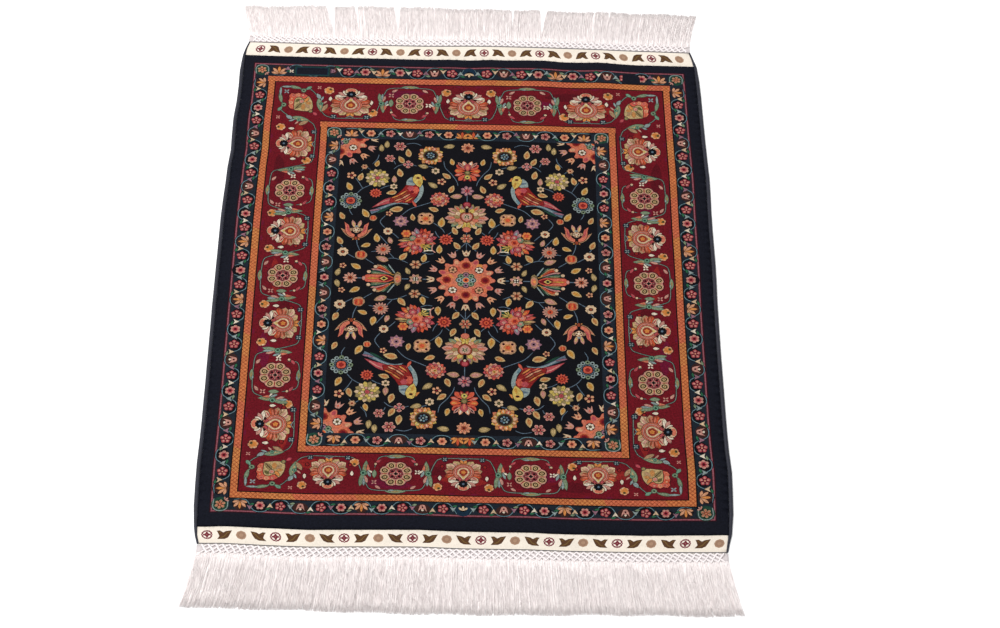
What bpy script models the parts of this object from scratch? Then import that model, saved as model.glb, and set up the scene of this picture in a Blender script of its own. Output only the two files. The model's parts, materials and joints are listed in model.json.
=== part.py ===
"""A small hereke rug, laid flat.

A knotted pile panel, a flat-woven band at each end, a wrapped cord along each side and a
knotted fringe beyond each band. Metres, +Z up, +Y along the rug, and the origin on the floor
under the middle of the whole rug, fringes included.
"""

from bisect import bisect_right
from collections import namedtuple
from math import exp, pi, sin

import bmesh
import bpy

MM = 0.001

# The gap that separate pieces keep
GAP = 0.3

# All sizes below are in millimetres, measured from the middle of the woven pattern
PATTERN_FORWARD = 3.5
PILE_THICKNESS = 3.4
PILE_UNEVENNESS = 0.25
RIPPLE_LENGTH = 46.0
RIPPLE_REACH = 28.0
KILIM_THICKNESS = 1.5
CORD_WIDTH = 5.0
CORD_END_WIDTH = 2.2
CORD_HEIGHT = 3.6
CORD_END_HEIGHT = 2.0
CORD_TAPER = 32.0
FRINGE_THICKNESS = 1.8
FRINGE_NET = 12.0
FRINGE_FLARE = 12.0
FRINGE_INSET = 1.0

COLUMNS = 24
PILE_ROWS = 26
KILIM_ROWS = 2

# Outer faces of the two side cords
Side = namedtuple("Side", "y left right")
SIDES = (
    Side(-412, -302.5, 302.5),
    Side(-398, -306, 305.5),
    Side(-380, -309, 309.5),
    Side(-345, -311.5, 313),
    Side(-300, -312.5, 314.5),
    Side(-250, -312, 312.5),
    Side(-200, -312.5, 312.5),
    Side(-120, -313.5, 312.5),
    Side(-50, -314.5, 313),
    Side(20, -315, 314.5),
    Side(90, -315.5, 314.2),
    Side(170, -313.8, 315.5),
    Side(205, -311.8, 314.6),
    Side(255, -313, 313.5),
    Side(310, -310.4, 313),
    Side(350, -311, 312),
    Side(378, -309.5, 310),
    Side(396, -306.5, 306),
    Side(413, -302, 301.5),
)

# How far the pile, the kilim band and the tassel tips reach at each end
End = namedtuple("End", "x pile kilim tips")
TOP_END = (
    End(-312, 382, 409, 480),
    End(-260, 381.2, 408.5, 482),
    End(-180, 381, 407.5, 485),
    End(-60, 381, 408.5, 487),
    End(-18, 382.8, 410, 486),
    End(-2, 381.6, 411, 485),
    End(34, 384.6, 411.5, 486),
    End(56, 383.6, 411.5, 487),
    End(92, 385.6, 411.5, 485),
    End(140, 382, 411, 486),
    End(174, 384.4, 410.4, 486.5),
    End(224, 380.2, 409, 485),
    End(312, 380, 408, 484),
)
BOTTOM_END = (
    End(-312, -387, -410, -485),
    End(-272, -385, -409, -488),
    End(-225, -386.6, -411, -490),
    End(-180, -388, -412, -490),
    End(-110, -386.3, -410.3, -492),
    End(-55, -385, -409, -493),
    End(0, -386.4, -410.4, -494),
    End(75, -386, -410, -493),
    End(120, -387.4, -411, -492),
    End(210, -387.2, -411, -491),
    End(262, -385.4, -409.6, -492),
    End(312, -384, -408.4, -489),
)

# Partings between the tassels: where, how wide at the tips, how deep from the tips
Parting = namedtuple("Parting", "x width depth")
TOP_PARTINGS = (
    Parting(-283, 2.5, 24),
    Parting(-262, 2.5, 30),
    Parting(-235, 5, 36),
    Parting(-197, 9, 54),
    Parting(-158, 18, 30),
    Parting(-124, 6, 50),
    Parting(-104, 8, 54),
    Parting(-72, 3, 26),
    Parting(-44, 5, 44),
    Parting(-12, 3, 28),
    Parting(20, 4, 30),
    Parting(56, 11, 34),
    Parting(94, 15, 56),
    Parting(126, 3, 24),
    Parting(144, 5, 34),
    Parting(172, 7, 54),
    Parting(206, 8, 54),
    Parting(232, 6, 44),
    Parting(262, 3, 26),
    Parting(288, 3, 30),
)
BOTTOM_PARTING_PITCH = 27.0
BOTTOM_PARTING_WIDTH = 2.4
BOTTOM_PARTING_DEPTH = 26.0

Finish = namedtuple("Finish", "colour roughness")
NAVY_SILK = Finish((0.012, 0.013, 0.022), 0.75)
CREAM_WEAVE = Finish((0.80, 0.72, 0.60), 0.80)
NAVY_WRAPPING = Finish((0.016, 0.018, 0.030), 0.65)
WHITE_SILK = Finish((0.80, 0.74, 0.70), 0.60)


def clear_scene():
    """Remove every object, so that the file can be run again."""
    for old in list(bpy.data.objects):
        bpy.data.objects.remove(old, do_unlink=True)


def material(name, finish):
    """Make a matt cloth material."""
    made = bpy.data.materials.new(name)
    made.use_nodes = True
    shader = made.node_tree.nodes["Principled BSDF"]
    shader.inputs["Base Color"].default_value = (*finish.colour, 1.0)
    shader.inputs["Roughness"].default_value = finish.roughness
    shader.inputs["Metallic"].default_value = 0.0
    return made


def along(table, key, column, at):
    """Read a column of a table at a place between its rows, with smooth turns at the rows."""
    places = [getattr(row, key) for row in table]
    values = [getattr(row, column) for row in table]
    at = min(max(at, places[0]), places[-1])
    low = min(bisect_right(places, at) - 1, len(places) - 2)
    span = places[low + 1] - places[low]
    share = (at - places[low]) / span
    ease = share * share * (3 - 2 * share)
    return values[low] + (values[low + 1] - values[low]) * ease


def end_y(table, column, x):
    """Return how far a piece reaches at one end of the rug."""
    return along(table, "x", column, x)


def cord_taper(y):
    """Return 0 where the side cords are full and 1 at their thin ends."""
    start = BOTTOM_END[0].pile if y < 0 else TOP_END[0].pile
    beyond = abs(y) - abs(start) + CORD_TAPER / 2
    return min(max(beyond / CORD_TAPER, 0.0), 1.0)


def cord_width(y):
    """Return the side cord's width."""
    return CORD_WIDTH + (CORD_END_WIDTH - CORD_WIDTH) * cord_taper(y)


def cord_height(y):
    """Return the side cord's height."""
    return CORD_HEIGHT + (CORD_END_HEIGHT - CORD_HEIGHT) * cord_taper(y)


def cloth_left(y):
    """Return the cloth's left edge, where it meets the left cord."""
    return along(SIDES, "y", "left", y) + cord_width(y) + GAP


def cloth_right(y):
    """Return the cloth's right edge, where it meets the right cord."""
    return along(SIDES, "y", "right", y) - cord_width(y) - GAP


def row_points(reach):
    """Return the points of one row across the cloth, whose Y is reach(x)."""
    left = cloth_left(reach(-CORD_WIDTH + SIDES[0].left))
    right = cloth_right(reach(CORD_WIDTH + SIDES[0].right))
    points = []
    for column in range(COLUMNS + 1):
        x = left + (right - left) * column / COLUMNS
        points.append((x, reach(x)))
    return points


def pile_rows():
    """Return the pile panel's rows of points, from the near end to the far one."""
    rows = []
    for row in range(PILE_ROWS + 1):
        share = row / PILE_ROWS

        def reach(x, share=share):
            near = end_y(BOTTOM_END, "pile", x)
            far = end_y(TOP_END, "pile", x)
            return near + (far - near) * share

        rows.append(row_points(reach))
    return rows


def kilim_rows(table):
    """Return one kilim band's rows of points, from the pile outwards."""
    outward = 1 if table is TOP_END else -1
    rows = []
    for row in range(KILIM_ROWS + 1):
        share = row / KILIM_ROWS

        def reach(x, share=share):
            inner = end_y(table, "pile", x) + outward * GAP
            outer = end_y(table, "kilim", x)
            return inner + (outer - inner) * share

        rows.append(row_points(reach))
    return rows


def pile_height(x, y):
    """Return the height of the pile's surface, with its soft ripples along the sides."""
    from_side = min(x - cloth_left(y), cloth_right(y) - x)
    near_side = exp(-((from_side / RIPPLE_REACH) ** 2))
    ripple = sin(2 * pi * y / RIPPLE_LENGTH + x / RIPPLE_LENGTH)
    return PILE_THICKNESS + PILE_UNEVENNESS * ripple * near_side


def kilim_height(x, y):
    """Return the height of a kilim band, which is even."""
    return KILIM_THICKNESS


def to_metres(x, y, z):
    """Move a point from the pattern's middle to the rug's middle, in metres."""
    return (x * MM, (y + PATTERN_FORWARD) * MM, z * MM)


def make_object(name, bm, finish):
    """Put a finished mesh in the scene with its own material."""
    bmesh.ops.recalc_face_normals(bm, faces=bm.faces)
    mesh = bpy.data.meshes.new(name)
    bm.to_mesh(mesh)
    bm.free()
    mesh.materials.append(material(name, finish))
    made = bpy.data.objects.new(name, mesh)
    bpy.context.collection.objects.link(made)
    return made


def flat_cloth(name, rows, height, finish):
    """Make a cloth that lies flat: its points in rows, its upper face at height(x, y)."""
    bm = bmesh.new()
    upper = [[bm.verts.new(to_metres(x, y, height(x, y))) for x, y in row] for row in rows]
    under = [[bm.verts.new(to_metres(x, y, 0)) for x, y in row] for row in rows]
    for layer in (upper, under):
        for near, far in zip(layer, layer[1:]):
            for corner in range(len(near) - 1):
                bm.faces.new((near[corner], near[corner + 1], far[corner + 1], far[corner]))
    rims = (
        (upper[0], under[0]),
        (upper[-1], under[-1]),
        ([row[0] for row in upper], [row[0] for row in under]),
        ([row[-1] for row in upper], [row[-1] for row in under]),
    )
    for high, low in rims:
        for corner in range(len(high) - 1):
            bm.faces.new((high[corner], high[corner + 1], low[corner + 1], low[corner]))
    return make_object(name, bm, finish)


def side_cord(name, stations, outer_column, inward, finish):
    """Make a side cord: a rounded section with a flat foot, swept along the cloth's edge."""
    section = (
        (0.0, 0.3),
        (0.0, 0.7),
        (0.22, 1.0),
        (0.78, 1.0),
        (1.0, 0.7),
        (1.0, 0.3),
        (0.85, 0.0),
        (0.15, 0.0),
    )
    bm = bmesh.new()
    rings = []
    for y in stations:
        outer = along(SIDES, "y", outer_column, y)
        ring = []
        for across, up in section:
            x = outer + inward * across * cord_width(y)
            ring.append(bm.verts.new(to_metres(x, y, up * cord_height(y))))
        rings.append(ring)
    for ring, following in zip(rings, rings[1:]):
        for corner in range(len(section)):
            after = (corner + 1) % len(section)
            bm.faces.new((ring[corner], ring[after], following[after], following[corner]))
    bm.faces.new(rings[0])
    bm.faces.new(rings[-1])
    return make_object(name, bm, finish)


def bottom_partings():
    """Return the near fringe's shallow partings, evenly spread with a slow drift."""
    reach = SIDES[0].right - BOTTOM_PARTING_PITCH / 2
    count = int(2 * reach // BOTTOM_PARTING_PITCH)
    partings = []
    for number in range(count + 1):
        x = -reach + 2 * reach * number / count
        drift = BOTTOM_PARTING_PITCH * 0.2 * sin(2.4 * number)
        depth = BOTTOM_PARTING_DEPTH * (1 + 0.35 * sin(1.7 * number))
        partings.append(Parting(x + drift, BOTTOM_PARTING_WIDTH, depth))
    return partings


def fringe(name, table, partings, finish):
    """Make a fringe as one comb: a heading along the kilim, then tassels parted at their tips."""
    outward = 1 if table is TOP_END else -1
    heading = []
    for x, y in kilim_rows(table)[-1]:
        heading.append((x, y + outward * GAP))
    left, right = heading[0], heading[-1]
    heading[0] = (left[0] + FRINGE_INSET, left[1])
    heading[-1] = (right[0] - FRINGE_INSET, right[1])
    outline = list(heading)
    outline.append((right[0], right[1] + outward * FRINGE_NET))
    outline.append((right[0] + FRINGE_FLARE, end_y(table, "tips", right[0])))
    for parting in reversed(partings):
        spread = 1 + FRINGE_FLARE / right[0]
        x = parting.x * spread
        tip = end_y(table, "tips", parting.x)
        outline.append((x + parting.width / 2, tip))
        outline.append((parting.x, tip - outward * parting.depth))
        outline.append((x - parting.width / 2, tip))
    outline.append((left[0] - FRINGE_FLARE, end_y(table, "tips", left[0])))
    outline.append((left[0], left[1] + outward * FRINGE_NET))

    bm = bmesh.new()
    foot = bm.faces.new([bm.verts.new(to_metres(x, y, 0)) for x, y in outline])
    raised = bmesh.ops.extrude_face_region(bm, geom=[foot])
    for piece in raised["geom"]:
        if isinstance(piece, bmesh.types.BMVert):
            piece.co.z += FRINGE_THICKNESS * MM
    bmesh.ops.triangulate(bm, faces=bm.faces, ngon_method="EAR_CLIP")
    return make_object(name, bm, finish)


def cord_stations(column):
    """Return the places along a side cord that match the cloth's own rows."""
    near = [row[column][1] for row in reversed(kilim_rows(BOTTOM_END)[1:])]
    pile = [row[column][1] for row in pile_rows()]
    far = [row[column][1] for row in kilim_rows(TOP_END)[1:]]
    return near + pile + far


def main():
    """Make every piece of the rug."""
    clear_scene()
    flat_cloth("pile_panel", pile_rows(), pile_height, NAVY_SILK)
    flat_cloth("kilim_top", kilim_rows(TOP_END), kilim_height, CREAM_WEAVE)
    flat_cloth("kilim_bottom", kilim_rows(BOTTOM_END), kilim_height, CREAM_WEAVE)
    side_cord("selvedge_left", cord_stations(0), "left", 1, NAVY_WRAPPING)
    side_cord("selvedge_right", cord_stations(-1), "right", -1, NAVY_WRAPPING)
    fringe("fringe_top", TOP_END, TOP_PARTINGS, WHITE_SILK)
    fringe("fringe_bottom", BOTTOM_END, bottom_partings(), WHITE_SILK)


main()
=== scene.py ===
"""The looks of a small silk hereke rug that lies flat on a pale floor.

The pile's pattern is drawn as a weaver's full-size cartoon in millimetres, cut into
coloured faces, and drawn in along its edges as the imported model's cloth is. The kilim ends,
the wrapped side cords and the knotted fringes are meshes of their own.
"""

from __future__ import annotations

import json
import logging
import math
import random
import sys
from collections.abc import Callable, Iterable, Sequence
from dataclasses import dataclass, field
from enum import Enum
from typing import Any

import bpy
import numpy as np
from mathutils import Matrix, Vector
from mathutils.bvhtree import BVHTree
from mathutils.geometry import delaunay_2d_cdt

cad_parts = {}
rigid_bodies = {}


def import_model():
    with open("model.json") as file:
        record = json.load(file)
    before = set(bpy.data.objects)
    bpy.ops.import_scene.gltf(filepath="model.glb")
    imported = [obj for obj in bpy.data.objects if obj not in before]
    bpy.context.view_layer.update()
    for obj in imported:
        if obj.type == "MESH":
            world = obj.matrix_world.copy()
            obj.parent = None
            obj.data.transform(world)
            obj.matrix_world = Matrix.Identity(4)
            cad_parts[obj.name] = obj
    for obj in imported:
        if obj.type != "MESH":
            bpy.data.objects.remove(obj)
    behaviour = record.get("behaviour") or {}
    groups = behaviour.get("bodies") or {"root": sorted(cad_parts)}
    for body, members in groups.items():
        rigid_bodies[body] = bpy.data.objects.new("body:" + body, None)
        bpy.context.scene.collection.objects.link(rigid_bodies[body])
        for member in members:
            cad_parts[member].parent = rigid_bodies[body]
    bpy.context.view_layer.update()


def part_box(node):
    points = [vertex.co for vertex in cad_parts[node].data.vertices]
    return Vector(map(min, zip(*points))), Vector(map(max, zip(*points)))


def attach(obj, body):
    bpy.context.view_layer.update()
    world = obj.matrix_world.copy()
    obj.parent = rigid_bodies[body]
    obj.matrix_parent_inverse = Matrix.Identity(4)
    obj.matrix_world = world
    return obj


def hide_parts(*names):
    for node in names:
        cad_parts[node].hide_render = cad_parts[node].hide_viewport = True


LOG = logging.getLogger("rug")
MM = 0.001

Point = tuple[float, float]
Outline = list[Point]


def linear(red: int, green: int, blue: int) -> tuple[float, float, float]:
    """Turn a screen colour of 0 to 255 into linear light."""
    return tuple(
        c / 12.92 if c <= 0.04045 else ((c + 0.055) / 1.055) ** 2.4
        for c in (red / 255, green / 255, blue / 255)
    )


class Yarn(Enum):
    """The dyed yarns, as screen colours."""

    MIDNIGHT = (13, 12, 19)
    # The margin's dark navy, tinted a little bluer as painted sheen
    MARGIN_WITH_PAINTED_SHEEN = (21, 23, 34)
    SLATE = (28, 36, 46)
    PETROL = (20, 44, 62)
    PINE = (30, 66, 52)
    UMBER = (58, 34, 30)
    INK = (12, 9, 11)
    MAROON = (54, 9, 17)
    CRIMSON = (108, 17, 29)
    WINE = (90, 13, 25)
    PLUM = (106, 17, 46)
    BRICK = (138, 34, 32)
    RUST = (146, 66, 42)
    FLAME = (198, 84, 52)
    APRICOT = (208, 134, 72)
    OCHRE = (186, 128, 74)
    ORANGE = (198, 124, 60)
    GOLD = (188, 140, 62)
    LEMON = (200, 174, 92)
    SALMON = (200, 112, 88)
    ROSE = (174, 74, 80)
    CORAL = (198, 90, 70)
    BLUSH = (192, 138, 124)
    PEACH = (208, 150, 114)
    CREAM = (208, 178, 144)
    IVORY = (222, 208, 186)
    TAN = (168, 132, 100)
    SAND = (188, 160, 112)
    KHAKI = (146, 126, 84)
    OLIVE = (96, 90, 52)
    FERN = (44, 100, 70)
    SAGE = (122, 138, 110)
    MINT = (110, 146, 122)
    MIST = (138, 152, 150)
    VINE = (116, 128, 118)
    STEEL = (90, 108, 124)
    SKY = (98, 128, 138)
    MAUVE = (146, 104, 118)
    LINE = (148, 82, 94)
    STRIPE = (206, 122, 72)
    STRIPE_ROSY = (208, 112, 78)
    STRIPE_PALE = (206, 133, 75)
    KILIM = (242, 231, 216)
    KILIM_LINE = (78, 78, 88)
    KILIM_MAROON = (114, 34, 50)
    KILIM_BROWN = (84, 52, 26)
    KILIM_GOLD = (112, 86, 40)
    KILIM_TAN = (168, 134, 108)
    KILIM_DISC = (152, 118, 96)


def around(radius: float, sides: int = 0, wide: float = 1.0) -> Outline:
    """Return a round outline.

    Args:
        radius: half its height.
        sides: how many sides it has, or 0 for as many as its size needs.
        wide: its width over its height.

    Returns:
        The corners.
    """
    count = sides or max(6, min(22, int(5 + 1.15 * radius)))
    angles = [math.tau * k / count for k in range(count)]
    return [(radius * wide * math.cos(a), radius * math.sin(a)) for a in angles]


def polar(reach: float, angle: float) -> Point:
    """Return the place at a distance and an angle in radians from the origin."""
    return (reach * math.cos(angle), reach * math.sin(angle))


def lobed(radius: float, lobes: int, depth: float = 0.18, turn: float = 0.0) -> Outline:
    """Return the outline of a flower with round petals.

    Args:
        radius: how far the petals reach.
        lobes: how many petals there are.
        depth: how far the notches go in, as a share of the radius.
        turn: the first petal's direction, in degrees.

    Returns:
        The corners, a few for each petal.
    """
    corners = []
    each = 3 if math.tau * radius / lobes < 5.5 else 4
    for k in range(lobes * each):
        share = k / each + 0.5
        reach = radius * (1 - depth * (1 - abs(math.cos(math.pi * share)) ** 0.55))
        angle = math.radians(turn) + math.tau * share / lobes
        corners.append(polar(reach, angle))
    return corners


def spiked(radius: float, points: int, inner: float = 0.7, turn: float = 0.0) -> Outline:
    """Return the outline of a flower with pointed petals.

    Args:
        radius: how far the points reach.
        points: how many points there are.
        inner: where the notches are, as a share of the radius.
        turn: the first point's direction, in degrees.

    Returns:
        The corners, two for each point.
    """
    corners = []
    for k in range(2 * points):
        reach = radius * (1.0 if k % 2 == 0 else inner)
        angle = math.radians(turn) + math.pi * k / points
        corners.append(polar(reach, angle))
    return corners


def blade(length: float, width: float, bend: float = 0.0, full: float = 0.42) -> Outline:
    """Return the outline of a leaf or petal along X, its stalk end at the origin.

    Args:
        length: its length.
        width: its greatest width.
        bend: how far the tip bends to the left.
        full: where along it is widest, as a share of the length.

    Returns:
        The corners.
    """
    steps = 4 if length < 7 else 5 if length < 13 else 7
    upper, lower = [], []
    for k in range(1, steps):
        share = k / steps
        warped = share ** (math.log(0.5) / math.log(full))
        half = width / 2 * max(math.sin(math.pi * warped) ** 0.8, 0.16)
        middle = bend * share * share
        upper.append((length * share, middle + half))
        lower.append((length * share, middle - half))
    return [(0.0, 0.0)] + lower + [(length, bend)] + upper[::-1]


def drop(radius: float, tip: float) -> Outline:
    """Return the outline of a drop: round below, with a point up at a height of tip."""
    start, turned, steps = math.radians(152), math.radians(236), 11
    angles = [start + turned * k / (steps - 1) for k in range(steps)]
    return [polar(radius, a) for a in angles] + [(0.0, tip)]


def shrunk(outline: Sequence[Point], share: float, towards: Point | None = None) -> Outline:
    """Return an outline drawn in towards a point, or towards its middle."""
    if towards is None:
        towards = (sum(p[0] for p in outline) / len(outline), sum(p[1] for p in outline) / len(outline))
    tx, ty = towards
    return [(tx + (x - tx) * share, ty + (y - ty) * share) for x, y in outline]


def grown(outline: Sequence[Point], margin: float) -> Outline:
    """Return an outline with its corners moved outward by a margin."""
    turned = 1 if area(outline) > 0 else -1
    count = len(outline)
    moved = []
    for k, (x, y) in enumerate(outline):
        (ax, ay), (bx, by) = outline[k - 1], outline[(k + 1) % count]
        first, second = math.hypot(x - ax, y - ay) or 1.0, math.hypot(bx - x, by - y) or 1.0
        nx = (y - ay) / first + (by - y) / second
        ny = (ax - x) / first + (x - bx) / second
        size = max(math.hypot(nx, ny), 0.5)
        moved.append((x + turned * nx / size * margin, y + turned * ny / size * margin))
    return moved


def both_sides(half: Sequence[Point]) -> Outline:
    """Return a whole outline from its right half, listed from bottom to top."""
    return list(half) + [(-x, y) for x, y in reversed(half) if abs(x) > 1e-6]


def smooth(points: Sequence[Point], steps: int = 3) -> Outline:
    """Return a smooth line through some points, with steps more points between each two."""
    ends = [points[0], *points, points[-1]]
    line = []
    for a, b, c, d in zip(ends, ends[1:], ends[2:], ends[3:]):
        for k in range(steps):
            t = k / steps
            line.append(
                tuple(
                    0.5
                    * (
                        2 * b[i]
                        + (c[i] - a[i]) * t
                        + (2 * a[i] - 5 * b[i] + 4 * c[i] - d[i]) * t * t
                        + (3 * b[i] - a[i] - 3 * c[i] + d[i]) * t**3
                    )
                    for i in (0, 1)
                )
            )
    line.append(tuple(points[-1]))
    return line


@dataclass(frozen=True)
class Pin:
    """A place on the cartoon, which moves, turns, mirrors and sizes what is drawn there."""

    xx: float = 1.0
    xy: float = 0.0
    yx: float = 0.0
    yy: float = 1.0
    x: float = 0.0
    y: float = 0.0

    def put(self, point: Point) -> Point:
        """Return where a point of the motif lands."""
        px, py = point
        return (self.x + self.xx * px + self.xy * py, self.y + self.yx * px + self.yy * py)

    def at(
        self,
        x: float,
        y: float,
        turn: float = 0.0,
        size: float = 1.0,
        wide: float = 1.0,
        tall: float = 1.0,
    ) -> Pin:
        """Return a pin placed on this one.

        Args:
            x: where it is across this pin.
            y: where it is along this pin.
            turn: how far it is turned, in degrees.
            size: its scale.
            wide: its own further scale across, negative to mirror.
            tall: its own further scale along, negative to mirror.

        Returns:
            The new pin.
        """
        c = math.cos(math.radians(turn)) * size
        s = math.sin(math.radians(turn)) * size
        a, b, d, e = c * wide, -s * tall, s * wide, c * tall
        px, py = self.put((x, y))
        return Pin(
            self.xx * a + self.xy * d,
            self.xx * b + self.xy * e,
            self.yx * a + self.yy * d,
            self.yx * b + self.yy * e,
            px,
            py,
        )


# The depths of the guard and the main border that their flowers are drawn for
GUARD_DEPTH = 20.5
MAIN_DEPTH = 67.0


def spread(pin: Pin, count: int, reach: float, start: float = 0.0) -> list[Pin]:
    """Return pins in a ring round another one, each facing outward, the first at an angle."""
    return [pin.at(0, 0, start + 360 * k / count).at(reach, 0) for k in range(count)]


class Cartoon:
    """A full-size drawing in flat colours, where what is drawn later lies on top."""

    def __init__(self) -> None:
        """Start with an empty sheet."""
        self.outlines: list[Outline] = []
        self.yarns: list[Yarn] = []
        self.hatched: set[int] = set()

    def add(self, other: Cartoon, cut: Callable[[Outline], Outline] | None = None) -> None:
        """Lay another drawing on top of this one.

        Args:
            other: the drawing.
            cut: trims each of its outlines, where it is given.
        """
        for number, (outline, yarn) in enumerate(zip(other.outlines, other.yarns)):
            kept = cut(outline) if cut else outline
            if len(kept) < 3:
                continue
            if number in other.hatched:
                self.hatched.add(len(self.outlines))
            self.outlines.append(kept)
            self.yarns.append(yarn)

    def fill(self, pin: Pin, outline: Sequence[Point], yarn: Yarn) -> None:
        """Fill an outline with a yarn."""
        self.outlines.append([pin.put(p) for p in outline])
        self.yarns.append(yarn)

    def edged(
        self, pin: Pin, outline: Sequence[Point], yarn: Yarn, edge: Yarn = Yarn.INK, margin: float = 0.9
    ) -> None:
        """Fill an outline and draw a darker edge round it."""
        self.fill(pin, grown(outline, margin), edge)
        self.fill(pin, outline, yarn)

    def stack(self, pin: Pin, *layers: tuple[Any, ...]) -> None:
        """Draw layers one over another, each an outline, its yarn, and its edge's if it has one."""
        for outline, yarn, *edge in layers:
            if edge:
                self.edged(pin, outline, yarn, *edge)
            else:
                self.fill(pin, outline, yarn)

    def box(self, left: float, right: float, low: float, high: float, yarn: Yarn) -> None:
        """Fill a rectangle, with points along its sides so that it can follow bent cloth."""
        self.fill(Pin(), Window(left, right, low, high).rim(9.0), yarn)

    def stroke(
        self,
        pin: Pin,
        path: Sequence[Point],
        width: float,
        yarn: Yarn,
        edge: Yarn | None = None,
        steps: int = 5,
    ) -> None:
        """Draw a smooth line of some width, with a darker edge where one is named."""
        line = smooth(path, steps)
        if edge is not None:
            self._ribbon(pin, line, width + 1.4, edge)
        self._ribbon(pin, line, width, yarn)

    def _ribbon(self, pin: Pin, line: Outline, width: float, yarn: Yarn) -> None:
        """Fill a ribbon along a line, piece by piece, with tapering ends."""
        left, right = [], []
        for k, (x, y) in enumerate(line):
            ahead = line[min(k + 1, len(line) - 1)]
            behind = line[max(k - 1, 0)]
            dx, dy = ahead[0] - behind[0], ahead[1] - behind[1]
            span = math.hypot(dx, dy) or 1.0
            half = width / 2 * (0.45 if k in (0, len(line) - 1) else 1.0)
            left.append((x - dy / span * half, y + dx / span * half))
            right.append((x + dy / span * half, y - dx / span * half))
        piece = 6
        for start in range(0, len(line) - 1, piece):
            stop = min(start + piece, len(line) - 1) + 1
            self.fill(pin, left[start:stop] + right[start:stop][::-1], yarn)


Tones = tuple[Yarn, ...]

LEAF_TAN: Tones = (Yarn.SAND, Yarn.OCHRE, Yarn.RUST)
LEAF_GOLD: Tones = (Yarn.SAND, Yarn.GOLD, Yarn.FLAME)
LEAF_BLUSH: Tones = (Yarn.TAN, Yarn.BLUSH, Yarn.ROSE)
LEAF_OLIVE: Tones = (Yarn.KHAKI, Yarn.SAND, Yarn.OLIVE)


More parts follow.
